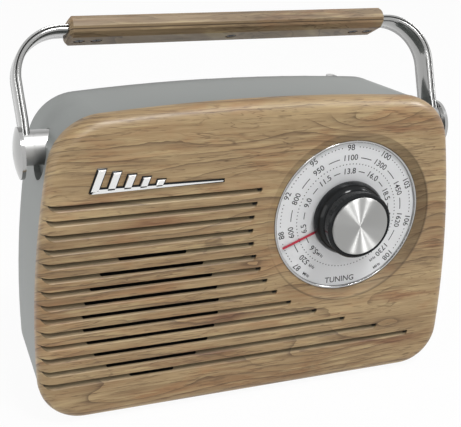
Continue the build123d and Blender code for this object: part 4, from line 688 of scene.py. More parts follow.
# %% Loudspeaker cloth
THREADS = 5200
HOLE, THREAD = (0.004, 0.004, 0.004, 1), (0.022, 0.022, 0.024, 1)
cloth = make_material(
    "grille cloth", moulded_skin, {"Tint": (0.012, 0.012, 0.012, 1), "Roughness": 0.8}, bump=0.6
)
tree = cloth.node_tree
thread_x, _, thread_z = three_axes(tree, scaled(tree, object_place(cloth), THREADS))
weave = thread_x.step("SINE") * thread_z.step("SINE")
cloth_colour = blend_colours(tree, weave.ramp(-0.2, 0.6), HOLE, THREAD)
fill(tree, shader_of(cloth).inputs["Base Color"], cloth_colour)
fill(tree, tree.nodes["Bump"].inputs["Height"], weave)
finishes["grille_cloth"] = cloth
print("cloth thread pitch in mm:", round(MILLIMETRES * 2 * pi / THREADS, 2))

# %% [markdown]
# ## Finishes on the solids
#
# The record says which material slot each solid takes. One loop puts the finish of that name in
# every solid's own slots, and the drums then get their satin plate. The shapes stay as they are.

# %% Dress the solids
slot_of = {part["node"]: part["material_slot"] for part in frame["record"]["subparts"]}
for name, solid in nodes.items():
    for material_slot in solid.material_slots:
        material_slot.material = finishes[slot_of[name]]
nodes["handle_hubs"].material_slots[0].material = satin_plate
print("dressed:", len(nodes), "solids in", len(finishes), "finishes")

# %% [markdown]
# ## Geometry Nodes
#
# Things that repeat, such as dots on the dial, and things that follow a path, such as the strap, are
# made by a node tree. A tree here starts with its named inputs and ends in Realize Instances and Set
# Material. The helper runs it on an empty object and keeps the resulting mesh, so that no modifier
# is left on the finished piece.


# %% Geometry node helpers
def start_rule(name, inputs):
    """A geometry tree with named inputs and a material; returns the tree and its input sockets."""
    rule = bpy.data.node_groups.new(name, "GeometryNodeTree")
    for label, kind in {**inputs, "Material": "Material"}.items():
        rule.interface.new_socket(label, in_out="INPUT", socket_type="NodeSocket" + kind)
    rule.interface.new_socket("Geometry", in_out="OUTPUT", socket_type="NodeSocketGeometry")
    return rule, rule.nodes.new("NodeGroupInput").outputs


def make_shape(rule, kind, inputs, **options):
    """Adds a Geometry node and returns the shape that it puts out."""
    return add_node(rule, "GeometryNode" + kind, inputs, **options).outputs[0]


def shape_of(rule, holder, whole=False):
    """The shape that another object holds, as one instance where whole is set."""
    inputs = {"Object": holder, "As Instance": whole}
    return add_node(rule, "GeometryNodeObjectInfo", inputs).outputs["Geometry"]


def end_rule(rule, shape, material):
    """Closes a tree with Realize Instances and Set Material."""
    real = make_shape(rule, "RealizeInstances", {0: shape})
    finished = make_shape(rule, "SetMaterial", {"Geometry": real, "Material": material})
    add_node(rule, "NodeGroupOutput", {"Geometry": finished})


def as_mesh(carrier):
    """The evaluated shape of an object as a plain mesh; the object is removed."""
    evaluated = carrier.evaluated_get(bpy.context.evaluated_depsgraph_get())
    mesh = bpy.data.meshes.new_from_object(evaluated)
    bpy.data.objects.remove(carrier)
    return mesh


def run_rule(rule, name, values):
    """Runs a tree with these input values and returns the result as a plain mesh."""
    carrier = add_object(name + " carrier", bpy.data.meshes.new(name))
    modifier = carrier.modifiers.new("rule", "NODES")
    modifier.node_group = rule
    for socket in rule.interface.items_tree:
        if socket.in_out == "INPUT":
            modifier[socket.identifier] = values[socket.name]
    return as_mesh(carrier)


def settle(piece, body, slot, *replaced):
    """Attaches a finished piece to its body and hides the solids it stands for; slot is not used."""
    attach(piece, body)
    if replaced:
        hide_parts(*replaced)
    print(piece.name, "on", body, "with", len(piece.data.polygons), "faces")


# %% [markdown]
# Most other pieces are rings of points joined by faces: a turned part, a bar with sloped sides, a
# dash on the dial. One helper adds rings and the faces between neighbours, one turns all faces
# outwards, and a loft is both with its ends filled. Pieces made of many such meshes are joined.

# %% Mesh helpers
def add_rings(shape, rings):
    """Adds rings of points and the faces between neighbours; returns the points and the faces."""
    rings = [[shape.verts.new(point) for point in ring] for ring in rings]
    faces = []
    for step, (first, second) in enumerate(zip(rings, rings[1:])):
        for k in range(len(first)):
            after = (k + 1) % len(first)
            face = shape.faces.new((first[k], first[after], second[after], second[k]))
            faces.append((face, step, k))
    return rings, faces


def close_shape(name, shape):
    """Turns every face outwards and returns the shape as a mesh."""
    bmesh.ops.recalc_face_normals(shape, faces=shape.faces)
    mesh = bpy.data.meshes.new(name)
    shape.to_mesh(mesh)
    shape.free()
    return mesh


def loft(name, rings):
    """A closed mesh through rings of points, with both ends filled."""
    shape = bmesh.new()
    rings, _ = add_rings(shape, rings)
    shape.faces.new(rings[-1])
    shape.faces.new(rings[0])
    return close_shape(name, shape)


def join(name, meshes, material):
    """Joins meshes to one object with one material."""
    whole = bmesh.new()
    for mesh in meshes:
        whole.from_mesh(mesh)
        bpy.data.meshes.remove(mesh)
    for face in whole.faces:
        face.material_index = 0
    joined = bpy.data.meshes.new(name)
    whole.to_mesh(joined)
    whole.free()
    joined.materials.append(material)
    return add_object(name, joined)


print("mesh helpers ready")

# %% [markdown]
# ## Dial print
#
# The dial plate carries three rings of numbers, dashes between them, a dotted circle, dotted gaps
# and the word at its foot. Print on a dial is a layer of ink with a hard edge, so it is made as very
# thin plates rather than as a picture. Numbers are text turned to a mesh, each at its own angle.
# Angles run counter-clockwise from the listener's right, as on a protractor laid on the dial.

# %% Ink and the placing of print
INK, STROKE_GROWN, LETTER_STEPS = 0.06 * MM, 0.05 * MM, 3
ink_values = {"Tint": (0.012, 0.012, 0.014, 1), "Roughness": 0.4, "Drift": 0.1}
ink = make_material("dial ink", moulded_skin, ink_values, bump=0.02)
dial_origin = (dial_centre.x, dial_face, dial_centre.z)


def on_dial(mesh, radius=0, angle=0, turn=0):
    """Puts a flat mesh drawn in X and Y on the dial's face, at a radius and angle."""
    place = Vector((radius * MM * cos(radians(angle)), radius * MM * sin(radians(angle)), 0))
    drawn = Matrix.Translation(place) @ Matrix.Rotation(radians(turn), 4, "Z")
    mesh.transform(Matrix.Translation(dial_origin) @ Matrix.Rotation(pi / 2, 4, "X") @ drawn)
    return mesh


def write(text, size, radius, angle, turn):
    """A word or number as a thin mesh on the dial."""
    curve = bpy.data.curves.new("lettering", "FONT")
    curve.body, curve.size = text, size * MM
    curve.align_x, curve.align_y = "CENTER", "CENTER"
    curve.extrude, curve.offset, curve.resolution_u = INK / 2, STROKE_GROWN, LETTER_STEPS
    mesh = as_mesh(add_object("lettering", curve))
    bpy.data.curves.remove(curve)
    return on_dial(mesh, radius, angle, turn)


print("ink is", INK / MM, "mm thick")

# %% [markdown]
# The scale has nine stations, evenly spread. The outer ring is in megahertz, the middle ring in
# kilohertz and the inner ring is the short-wave band. A dash fills each gap between two numbers of
# the middle and inner rings.

# %% Numbers on the three rings
STATION_STEP = 33.5
FIRST_STATION = 90.7 + 4 * STATION_STEP
stations = [FIRST_STATION - STATION_STEP * k for k in range(9)]
RINGS = (
    # radius, letter size, numbers from the low end
    (43.0, 5.1, ("87", "88", "92", "95", "98", "100", "103", "106", "108")),
    (36.7, 5.0, ("520", "600", "800", "950", "1100", "1300", "1450", "1620", "1730")),
    (28.3, 5.0, ("5.6", "6.5", "9.0", "11.5", "13.8", "16.0", "18.5", "20.4", "22.0")),
)
UNITS = ((43.6, "MHz"), (37.4, "kHz"), (28.8, "MHz"))
UNIT_SIZE, UNIT_ANGLES = 2.7, (-124.0, -56.0)
print_meshes = [
    write(number, letter_size, ring_radius, angle, angle - 90)
    for ring_radius, letter_size, numbers in RINGS
    for angle, number in zip(stations, numbers)
]
print_meshes.append(write("TUNING", 5.2, 42.0, -91.5, 0))
for ring_radius, unit in UNITS:
    for angle in UNIT_ANGLES:
        print_meshes.append(write(unit, UNIT_SIZE, ring_radius, angle, angle + 90))
print("numbers and words:", len(print_meshes))


# %% Dashes between the numbers
def arc_strip(radius, start, stop, width, steps=8):
    """A thin curved bar on the dial, from one angle to another."""
    low, high = (radius - width / 2) * MM, (radius + width / 2) * MM
    corners = ((low, INK / 2), (high, INK / 2), (high, -INK / 2), (low, -INK / 2))
    rings = []
    for k in range(steps + 1):
        angle = radians(start + (stop - start) * k / steps)
        rings.append([(r * cos(angle), r * sin(angle), z) for r, z in corners])
    return on_dial(loft("dash", rings))


DASH_WIDTH = 0.5
DASH_RINGS = ((36.8, 11.0), (28.3, 12.4))
for ring_radius, gap_half in DASH_RINGS:
    for high, low in zip(stations, stations[1:]):
        print_meshes.append(arc_strip(ring_radius, low + gap_half, high - gap_half, DASH_WIDTH))
print("with dashes:", len(print_meshes))

# %% [markdown]
# A dotted circle runs between the middle and the inner ring, and short dotted arcs fill the gaps of
# the outer ring. They hold some hundred and fifty dots, so Geometry Nodes place them: points on an
# arc, a small flat disc on each, and nothing more. The tree has inputs for the radius, the angles,
# the count and the dot's size, and is run once for each arc.

# %% Dotted circle and dotted gaps
DOT_SIDES = 8
dot_inputs = {
    "Radius": "Float", "Dots": "Int", "Dot Size": "Float", "Start": "Float", "Sweep": "Float",
    "Centre": "Vector",
}
dots, given = start_rule("dotted arc", dot_inputs)
arc = make_shape(dots, "CurveArc", {
    "Resolution": given["Dots"], "Radius": given["Radius"], "Start Angle": given["Start"],
    "Sweep Angle": given["Sweep"],
})
points = make_shape(dots, "CurveToPoints", {"Curve": arc}, mode="EVALUATED")
disc = make_shape(dots, "MeshCylinder", {
    "Vertices": DOT_SIDES, "Radius": given["Dot Size"], "Depth": INK,
})
placed = make_shape(dots, "InstanceOnPoints", {"Points": points, "Instance": disc})
upright = make_shape(dots, "Transform", {
    "Geometry": placed, "Translation": given["Centre"], "Rotation": (pi / 2, 0, 0),
})
end_rule(dots, upright, given["Material"])
DOT_RADIUS, NUMBER_GAP = 0.36 * MM, 7.8
arcs = [(32.9, 96, 0.0, 360.0)]
arcs += [(43.4, 7, low + NUMBER_GAP, STATION_STEP - 2 * NUMBER_GAP) for low in stations[1:]]
for ring_radius, count, start, sweep in arcs:
    values = {
        "Radius": ring_radius * MM, "Dots": count, "Dot Size": DOT_RADIUS, "Start": radians(start),
        "Sweep": radians(sweep), "Centre": dial_origin, "Material": ink,
    }
    print_meshes.append(run_rule(dots, "dots", values))
dial_lettering = join("dial_lettering", print_meshes, ink)
settle(dial_lettering, "cabinet", "dial_print")

# %% [markdown]
# ## Ornament
#
# To the left above the louvres sits a small plated trim: a long spear and a row of slanted bars. A
# cast trim has sloped sides that catch the light along every edge, which a flat plate doesn't. Each
# bar is a roof: its outline on the panel, a smaller outline raised above it.


# %% A bar with sloped sides
PULL_MOST = 0.8


def roof(outline, inset, base_y, top_y):
    """A bar with sloped sides from an outline in X and Z."""
    centre = sum((Vector(p) for p in outline), Vector((0, 0))) / len(outline)
    rings = []
    for y, shrink in ((base_y, 0.0), ((base_y + top_y) / 2, 0.0), (top_y, inset)):
        ring = []
        for point in outline:
            away = Vector(point) - centre
            pull = away.normalized() * min(shrink, away.length * PULL_MOST)
            ring.append((point[0] - pull.x, y, point[1] - pull.y))
        rings.append(ring)
    return loft("bar", rings)


trim_low, trim_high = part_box("panel_ornament")
back_y, front_y = trim_high.y, trim_low.y
print("ornament box in mm:", [round(v / MM, 1) for v in (*trim_low, *trim_high)])

# %% [markdown]
# The spear tapers to its right end, and each bar stands on it, leaning right and shorter than the
# last. Behind them lies a thin black plate, a little wider all round, that is painted shadow round
# the trim.

# %% Spear and bars
SPEAR_WIDTH, SPEAR_TIP, FOOT_SHARE = 2.4 * MM, 0.3 * MM, 0.4
BAR_PITCH, BAR_WIDTH, BAR_SLANT = 9.0 * MM, 4.3 * MM, 4.6 * MM
BAR_COUNT, BAR_STEP, BAR_BEVEL = 5, 0.16, 0.55 * MM
spear_middle = trim_low.z + SPEAR_WIDTH / 2
bar_tall = trim_high.z - trim_low.z
bar_foot = trim_low.z + SPEAR_WIDTH * FOOT_SHARE
trim_outlines = [(
    (trim_low.x, trim_low.z), (trim_high.x, spear_middle - SPEAR_TIP),
    (trim_high.x, spear_middle + SPEAR_TIP), (trim_low.x + BAR_SLANT, trim_low.z + SPEAR_WIDTH),
)]
for k in range(BAR_COUNT):
    share = 1 - BAR_STEP * k
    left = trim_low.x + BAR_PITCH * k
    right, lean, top = left + BAR_WIDTH, BAR_SLANT * share, trim_low.z + bar_tall * share
    trim_outlines.append(((left, bar_foot), (right, bar_foot), (right + lean, top), (left + lean, top)))
bars = [roof(outline, BAR_BEVEL, back_y, front_y) for outline in trim_outlines]
bright_trim = make_material(
    "bright trim", worked_metal, {"Tint": (0.80, 0.80, 0.79, 1), "Roughness": 0.16, "Scratch": 0.03},
    Metallic=1.0,
)
trim = join("trim_spear", bars, bright_trim)
settle(trim, "cabinet", "chrome_plate", "panel_ornament")


# %% Black plate of painted shadow behind the trim
CORNER_MOST = 1.2


def grown(outline, margin):
    """The outline moved outwards by a margin, corners kept short."""
    points = [Vector(p) for p in outline]
    centre = sum(points, Vector((0, 0))) / len(points)
    result = []
    for k, point in enumerate(points):
        normals = []
        for first, second in ((points[k - 1], point), (point, points[(k + 1) % len(points)])):
            edge = second - first
            normal = Vector((edge.y, -edge.x)).normalized()
            if normal.dot(first - centre) < 0:
                normal.negate()
            normals.append(normal)
        reach_out = min(1 / (1 + normals[0].dot(normals[1])), CORNER_MOST)
        result.append(tuple(point + (normals[0] + normals[1]) * margin * reach_out))
    return result


SHADOW_MARGIN, SHADOW_RISE, SHADOW_SHARE = 0.75 * MM, 0.35 * MM, 0.45
shadow_front = back_y + (front_y - back_y) * SHADOW_SHARE
plates = [
    roof(grown(outline, SHADOW_MARGIN), SHADOW_RISE, back_y, shadow_front)
    for outline in trim_outlines
]
# A black plate as painted shadow round the spear and bars.
shadow_plate = join("trim_backing", plates, finishes["knob_black"])
settle(shadow_plate, "cabinet", "knob_black")

# %% [markdown]
# ## Handle strap
#
# The strap is one plated bar bent to a bow. Its front and back edges are rolled: a wide bead, a
# groove and a narrow bead run along the whole bow and catch the light as parallel lines. A bar of
# one section along a path is what Curve to Mesh makes. The path is a line with four corners that a
# Fillet Curve node rounds, and the section is a closed line drawn once. The bow is made flat and
# then leaned back about the pivot.

# %% Strap sizes
STRAP_THICK, STRAP_WIDE, STRAP_CORNER, STRAP_FOOT = 4.4 * MM, 16.6 * MM, 27.0 * MM, 5.0 * MM
ARM_X, ARM_TOP_X, ARM_STRAIGHT = 128.4 * MM, 131.0 * MM, 14.0 * MM
WIDE_BEAD, NARROW_BEAD = 1.25 * MM, 0.55 * MM
FRONT_STEP, BACK_STEP, SHOULDER = 0.35 * MM, 0.2 * MM, 1.1 * MM
half_thick, half_wide = STRAP_THICK / 2, STRAP_WIDE / 2
pivot = Vector((0, hub_centre.y, hub_centre.z))
strap_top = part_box("handle_strap")[1]
reach = (strap_top.z - pivot.z - half_wide * sin(TILT)) / cos(TILT) - half_thick
print("strap reach in mm:", round(reach / MM, 2))

# %% Section and path of the strap
BEAD_STEPS, BEAD_DEPTH = 7, 0.75


def bead(middle_x, radius):
    """Points of a flattened half-round bead that bulges to the strap's edge."""
    points = []
    for k in range(BEAD_STEPS + 1):
        angle = pi * k / BEAD_STEPS
        sink = radius * (1 - sin(angle)) * BEAD_DEPTH
        points.append((middle_x + radius * cos(angle), half_wide - sink))
    return points


def drawn_curve(name, points, closed):
    """A straight-segment curve through points."""
    curve = bpy.data.curves.new(name, "CURVE")
    curve.dimensions = "3D"
    line = curve.splines.new("POLY")
    line.points.add(len(points) - 1)
    for target, point in zip(line.points, points):
        target.co = (point[0], point[1], 0, 1)
    line.use_cyclic_u = closed
    return add_object(name, curve)


front_edge = bead(half_thick - WIDE_BEAD - FRONT_STEP, WIDE_BEAD)
front_edge += bead(-half_thick + NARROW_BEAD + BACK_STEP, NARROW_BEAD)
shoulder = half_wide - SHOULDER
section = [(half_thick, shoulder - BACK_STEP), *front_edge, (-half_thick, shoulder)]
section += [(x, -y) for x, y in reversed(section)]
path_points = (
    (-ARM_X, -STRAP_FOOT), (-ARM_X, ARM_STRAIGHT), (-ARM_TOP_X, reach), (ARM_TOP_X, reach),
    (ARM_X, ARM_STRAIGHT), (ARM_X, -STRAP_FOOT),
)
section_curve = drawn_curve("strap section", section, True)
path_curve = drawn_curve("strap path", path_points, False)
print("strap section has", len(section), "points")

# %% Strap tree
BEND_STEPS = 18
strap_inputs = {
    "Path": "Object", "Section": "Object", "Corner": "Float", "Steps": "Int", "Pivot": "Vector",
    "Lean": "Float",
}
bow, given = start_rule("bent strap", strap_inputs)
corners = {"Curve": shape_of(bow, given["Path"]), "Radius": given["Corner"], "Count": given["Steps"]}
rounded = make_shape(bow, "FilletCurve", corners, mode="POLY")
level_path = make_shape(bow, "SetCurveNormal", {"Curve": rounded}, mode="Z_UP")
bar = make_shape(bow, "CurveToMesh", {
    "Curve": level_path, "Profile Curve": shape_of(bow, given["Section"]), "Fill Caps": True,
})
stand_up = add_node(bow, "ShaderNodeCombineXYZ", {0: Signal(bow, pi / 2) - given["Lean"]}).outputs[0]
leaned = make_shape(bow, "Transform", {
    "Geometry": bar, "Translation": given["Pivot"], "Rotation": stand_up,
})
end_rule(bow, leaned, given["Material"])
values = {
    "Path": path_curve, "Section": section_curve, "Corner": STRAP_CORNER, "Steps": BEND_STEPS,
    "Pivot": tuple(pivot), "Lean": TILT, "Material": finishes["chrome_plate"],
}
strap = add_object("strap_bow", run_rule(bow, "strap_bow", values))
for helper in (path_curve, section_curve):
    bpy.data.objects.remove(helper)
print("strap:", len(strap.data.vertices), "points")


# %% Strap: outward faces and soft bends
def soften(piece, crease_degrees):
    """Merges doubles, turns every face outwards and rounds the shading below an angle."""
    shape = bmesh.new()
    shape.from_mesh(piece.data)
    bmesh.ops.remove_doubles(shape, verts=shape.verts, dist=MM / 1000)
    bmesh.ops.recalc_face_normals(shape, faces=shape.faces)
    shape.to_mesh(piece.data)
    shape.free()
    for face in piece.data.polygons:
        face.use_smooth = True
    piece.data.set_sharp_from_angle(angle=radians(crease_degrees))


STRAP_CREASE = 50
soften(strap, STRAP_CREASE)
print("strap shading is sharp past", STRAP_CREASE, "degrees")

# %% [markdown]
# The grooves between the beads are painted dark, as painted shade and painted dark reflection. Curve
# to Mesh puts the points of the section one after the other at every step of the path. A point's
# number therefore says where it sits on the section, and an attribute keeps how deep in a groove it
# is.


# %% Painted shade and dark reflection in the grooves along the strap
FLAT_FACE, DARK_DEPTH = half_thick - 0.05 * MM, WIDE_BEAD * 0.6
GROOVE_SHADE_RAMP = (0.35, 1.0, 0.0, 0.85)


def groove_at(x, y):
    """1 at the foot of a bead, 0 on its crown and on the flat faces."""
    return 0.0 if abs(x) > FLAT_FACE else min(1.0, (half_wide - abs(y)) / DARK_DEPTH)


groove_of = [groove_at(x, y) for x, y in section]
groove = strap.data.attributes.new("groove", "FLOAT", "POINT")
for index, entry in enumerate(groove.data):
    entry.value = groove_of[index % len(section)]
strap_plate = variant(finishes["chrome_plate"], "strap plate", "Tint", (0.35, 0.35, 0.345, 1))
tree = strap_plate.node_tree
depth_mark = add_node(tree, "ShaderNodeAttribute", attribute_name="groove").outputs["Fac"]
# Painted shade and painted dark reflection at the foot of each bead.
darken(strap_plate, Signal(tree, depth_mark).ramp(*GROOVE_SHADE_RAMP), (0.035, 0.035, 0.037, 1))
strap.data.materials[0] = strap_plate
settle(strap, "handle", "chrome_plate", "handle_strap")

# %% [markdown]
# ## Sleeves over the strap's feet
#
# Each foot of the strap ends in a short sleeve between the drum and the domed disc, so that drum,
# foot and disc read as one turned pivot. A turned part is a profile spun about its axis.


# %% Sleeves
def turned_rings(profile, centre, axis, sides):
    """A ring of points for every (place along the axis, radius) of a profile."""
    first, second = (k for k in range(3) if k != axis)
    rings = []
    for place, radius in profile:
        ring = []
        for k in range(sides):
            point = list(centre)
            point[axis] = place
            point[first] += radius * cos(2 * pi * k / sides)
            point[second] += radius * sin(2 * pi * k / sides)
            ring.append(point)
        rings.append(ring)
    return rings


ABOUT_X, ABOUT_Y, ABOUT_Z = 0, 1, 2
SLEEVE_RADIUS, SLEEVE_EDGE, SLEEVE_SIDES, SLEEVE_CREASE = 9.95 * MM, 0.35 * MM, 64, 30
sleeve_in, sleeve_out = ARM_X - half_thick - 1.6 * MM, ARM_X + half_thick + 0.1 * MM
sleeve_profile = (
    (sleeve_in, SLEEVE_RADIUS - SLEEVE_EDGE), (sleeve_in + SLEEVE_EDGE, SLEEVE_RADIUS),
    (sleeve_out - SLEEVE_EDGE, SLEEVE_RADIUS), (sleeve_out, SLEEVE_RADIUS - SLEEVE_EDGE),
)
sleeves = []
for side in (-1, 1):
    profile = [(side * x, radius) for x, radius in sleeve_profile]
    sleeves.append(loft("sleeve", turned_rings(profile, hub_centre, ABOUT_X, SLEEVE_SIDES)))
hub_sleeves = join("hub_sleeves", sleeves, satin_plate)
soften(hub_sleeves, SLEEVE_CREASE)
settle(hub_sleeves, "handle", "chrome_plate")

# %% [markdown]
# ## Turned disc in the knob
#
# The disc in the knob is aluminium turned on a lathe. Its fine circular grooves stretch every
# highlight along the radius, which shows as bright wedges that meet in the middle. Anisotropy does
# that in the shader, if it knows which way is radial. The disc is spun from a short profile, and its
# UV map holds the radius and the angle, so the UV tangent is the radial direction.

# %% Spin the disc
DISC_GAP, DISC_BEVEL, DISC_DISH = 0.7 * MM, 0.5 * MM, 0.35 * MM
DISC_STEPS, DISC_SIDES, DISC_CREASE = 10, 96, 40
disc_low, disc_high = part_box("knob_cap")
disc_radius = (disc_high.x - disc_low.x) / 2 - DISC_GAP
disc_front = disc_low.y
flat_radius = disc_radius - DISC_BEVEL
profile = [
    (disc_front + DISC_DISH * (1 - (k / DISC_STEPS) ** 2), flat_radius * k / DISC_STEPS)
    for k in range(DISC_STEPS + 1)
]
round_over = DISC_BEVEL * 0.3
profile.append((disc_front + round_over, disc_radius - round_over))
profile += [(disc_front + DISC_BEVEL, disc_radius), (disc_high.y, disc_radius)]
shape = bmesh.new()
uv = shape.loops.layers.uv.new("turned")
rings = turned_rings(profile, middle("knob_cap"), ABOUT_Y, DISC_SIDES)
rings, faces = add_rings(shape, rings)
for face, step, k in faces:
    corners = ((step, k), (step, k + 1), (step + 1, k + 1), (step + 1, k))
    for loop, (radial, turned) in zip(face.loops, corners):
        loop[uv].uv = (profile[radial][1] / disc_radius, turned / DISC_SIDES)
shape.faces.new(rings[-1])
turned_disc = add_object("turned_disc", close_shape("turned_disc", shape))
soften(turned_disc, DISC_CREASE)
print("disc radius in mm:", round(disc_radius / MM, 2))

# %% Turned aluminium
turned_aluminium = make_material(
    "turned aluminium", worked_metal,
    {"Tint": (0.50, 0.50, 0.49, 1), "Roughness": 0.50, "Stretch": (3, 3, 3), "Scratch": 0.04,
     "Smudge": 0.03},
    bump=0.02, Metallic=1.0, Anisotropic=1.0,
)
tree = turned_aluminium.node_tree
radial = add_node(tree, "ShaderNodeTangent", direction_type="UV_MAP", uv_map="turned")
fill(tree, shader_of(turned_aluminium).inputs["Tangent"], radial.outputs[0])
turned_disc.data.materials.append(turned_aluminium)
settle(turned_disc, "tuning", "spun_cap", "knob_cap")

# %% [markdown]
# ## Screws
#
# Every screw on the outside has a cross recess. The head is modelled once: a domed rim, a flat top
# with a cross-shaped hole, and the hole's walls and floor. A tree then sets it on each place where
# the solid has a screw. The places are the middles of the solid's separate islands.


# %% Screw places
def island_boxes(name):
    """Boxes of the separate islands of a solid."""
    shape = bmesh.new()
    shape.from_mesh(nodes[name].data)
    bmesh.ops.remove_doubles(shape, verts=shape.verts, dist=MM / 1000)
    left, boxes = set(shape.verts), []
    while left:
        group, edge = [], [left.pop()]
        while edge:
            vertex = edge.pop()
            group.append(vertex.co.copy())
            for link in vertex.link_edges:
                other = link.other_vert(vertex)
                if other in left:
                    left.remove(other)
                    edge.append(other)
        boxes.append([Vector([end(p[k] for p in group) for k in range(3)]) for end in (min, max)])
    shape.free()
    return sorted(boxes, key=lambda box: tuple(round(v, 5) for v in box[0]))


def markers(places):
    """An object that holds nothing but points."""
    points = bpy.data.meshes.new("places")
    points.from_pydata(places, [], [])
    return add_object("places", points)


print("cover screws:", len(island_boxes("cover_screws")))

# %% One screw head
HEAD_RADIUS, HEAD_RISE, HEAD_SIDES = 2.9 * MM, 0.55 * MM, 24
FLAT_RADIUS, BROW_RADIUS, BROW_RISE, HEAD_FOOT = 2.1 * MM, 2.6 * MM, 0.14 * MM, 1.6 * MM
CROSS_REACH, CROSS_HALF, CROSS_DEEP, CROSS_TAPER = 1.75 * MM, 0.34 * MM, 0.9 * MM, 0.8
head_profile = (
    (0, FLAT_RADIUS), (-BROW_RISE, BROW_RADIUS), (-HEAD_RISE, HEAD_RADIUS), (-HEAD_FOOT, HEAD_RADIUS),
)
arm = ((CROSS_REACH, -CROSS_HALF, 0), (CROSS_REACH, CROSS_HALF, 0), (CROSS_HALF, CROSS_HALF, 0))
cross = [Matrix.Rotation(k * pi / 2, 3, "Z") @ Vector(point) for k in range(4) for point in arm]
floor_of_cross = [(p.x * CROSS_TAPER, p.y * CROSS_TAPER, -CROSS_DEEP) for p in cross]
shape = bmesh.new()
(top, *_, foot), _ = add_rings(shape, turned_rings(head_profile, (0, 0, 0), ABOUT_Z, HEAD_SIDES))
(mouth, bottom), _ = add_rings(shape, (cross, floor_of_cross))
shape.faces.new(foot)
shape.faces.new(bottom)
top_edges = [
    shape.edges.get(pair) for loop in (top, mouth) for pair in zip(loop, loop[1:] + loop[:1])
]
bmesh.ops.triangle_fill(shape, edges=top_edges, use_beauty=True)
cross_head = add_object("cross head", close_shape("cross head", shape))
print("one screw head:", len(cross_head.data.polygons), "faces")

# %% Screw tree
TURN_MOST, TURN_SEED = 1.5, 4
screwing, given = start_rule("screw heads", {"Places": "Object", "Head": "Object", "Turn": "Vector"})
set_heads = make_shape(screwing, "InstanceOnPoints", {
    "Points": shape_of(screwing, given["Places"]),
    "Instance": shape_of(screwing, given["Head"], whole=True), "Rotation": given["Turn"],
})
turns = {"Min": (0, 0, 0), "Max": (0, 0, TURN_MOST), "Seed": TURN_SEED}
spin = add_node(screwing, "FunctionNodeRandomValue", turns, data_type="FLOAT_VECTOR")
spun = make_shape(screwing, "RotateInstances", {
    "Instances": set_heads, "Rotation": spin.outputs["Value"], "Local Space": True,
})
end_rule(screwing, spun, given["Material"])


def set_screws(name, solid, facing_out, turn, body, material):
    """Cross heads on a solid's screws; facing_out says where a screw's head is in its box."""
    holder = markers([facing_out(low, high) for low, high in island_boxes(solid)])
    values = {"Places": holder, "Head": cross_head, "Turn": turn, "Material": material}
    piece = add_object(name, run_rule(screwing, name, values))
    bpy.data.objects.remove(holder)
    settle(piece, body, "zinc_steel", solid)


def at_back(low, high):
    """The middle of a screw's box, on its rear face."""
    return ((low.x + high.x) / 2, high.y, (low.z + high.z) / 2)


zinc_steel = finishes["zinc_steel"]
set_screws("cover_cross_heads", "cover_screws", at_back, (-pi / 2, 0, 0), "cabinet", zinc_steel)

# %% [markdown]
# The grip's screws sit in round sinks in its underside and are blackened. They face down along the
# strap's arms, so their turn follows the handle's lean.

# %% Grip screws
blackened = make_material(
    "blackened steel", worked_metal,
    {"Tint": (0.045, 0.045, 0.047, 1), "Roughness": 0.4, "Stretch": (2, 2, 2), "Scratch": 0.1,
     "Smudge": 0.1},
    bump=0.05, Metallic=1.0,
)


def below_grip(low, high):
    """The head's middle: the lower end of a screw that leans with the handle."""
    half_long = ((high.z - low.z) / 2 - HEAD_RADIUS * sin(TILT)) / cos(TILT)
    return tuple((low + high) / 2 - lean_way * half_long)


set_screws("grip_cross_heads", "grip_screws", below_grip, (pi - TILT, 0, 0), "handle", blackened)
bpy.data.objects.remove(cross_head)

# %% [markdown]
# ## Battery springs
#
# With the battery door open, the contact springs show. Each is a cone of wire: a Spiral curve that
# narrows as it rises, with a round section. The tree takes both radii, the rise and the turns.

# %% Spring tree
COIL_STEPS, WIRE_SIDES = 24, 8
spring_inputs = {
    "Places": "Object", "Foot Radius": "Float", "Tip Radius": "Float", "Rise": "Float",
    "Turns": "Float", "Wire": "Float", "Turn": "Vector",
}
springing, given = start_rule("coil springs", spring_inputs)
spiral = make_shape(springing, "CurveSpiral", {
    "Resolution": COIL_STEPS, "Rotations": given["Turns"], "Start Radius": given["Foot Radius"],
    "End Radius": given["Tip Radius"], "Height": given["Rise"],
})
round_wire = {"Resolution": WIRE_SIDES, "Radius": given["Wire"]}
wire = make_shape(springing, "CurvePrimitiveCircle", round_wire)
coil = make_shape(springing, "CurveToMesh", {
    "Curve": spiral, "Profile Curve": wire, "Fill Caps": True,
})
set_coils = make_shape(springing, "InstanceOnPoints", {
    "Points": shape_of(springing, given["Places"]), "Instance": coil, "Rotation": given["Turn"],
})
end_rule(springing, set_coils, given["Material"])
print("spring tree:", len(springing.nodes), "nodes")

# %% Coil springs
WIRE_RADIUS, TIP_RADIUS, COIL_TURNS, COIL_CREASE = 0.45 * MM, 2.6 * MM, 4.0, 60
spring_meshes = []
for low, high in island_boxes("battery_springs"):
    foot_left = abs(low.x) > abs(high.x)
    place = (low + high) / 2
    place.x = low.x if foot_left else high.x
    holder = markers([place])
    values = {
        "Places": holder, "Foot Radius": (high.y - low.y) / 2 - WIRE_RADIUS, "Tip Radius": TIP_RADIUS,
        "Rise": high.x - low.x - WIRE_RADIUS, "Turns": COIL_TURNS, "Wire": WIRE_RADIUS,
        "Turn": (0, pi / 2 if foot_left else -pi / 2, 0), "Material": finishes["contact_nickel"],
    }
    spring_meshes.append(run_rule(springing, "coil", values))
    bpy.data.objects.remove(holder)
contact_coils = join("contact_coils", spring_meshes, finishes["contact_nickel"])
soften(contact_coils, COIL_CREASE)
settle(contact_coils, "cabinet", "contact_nickel", "battery_springs")

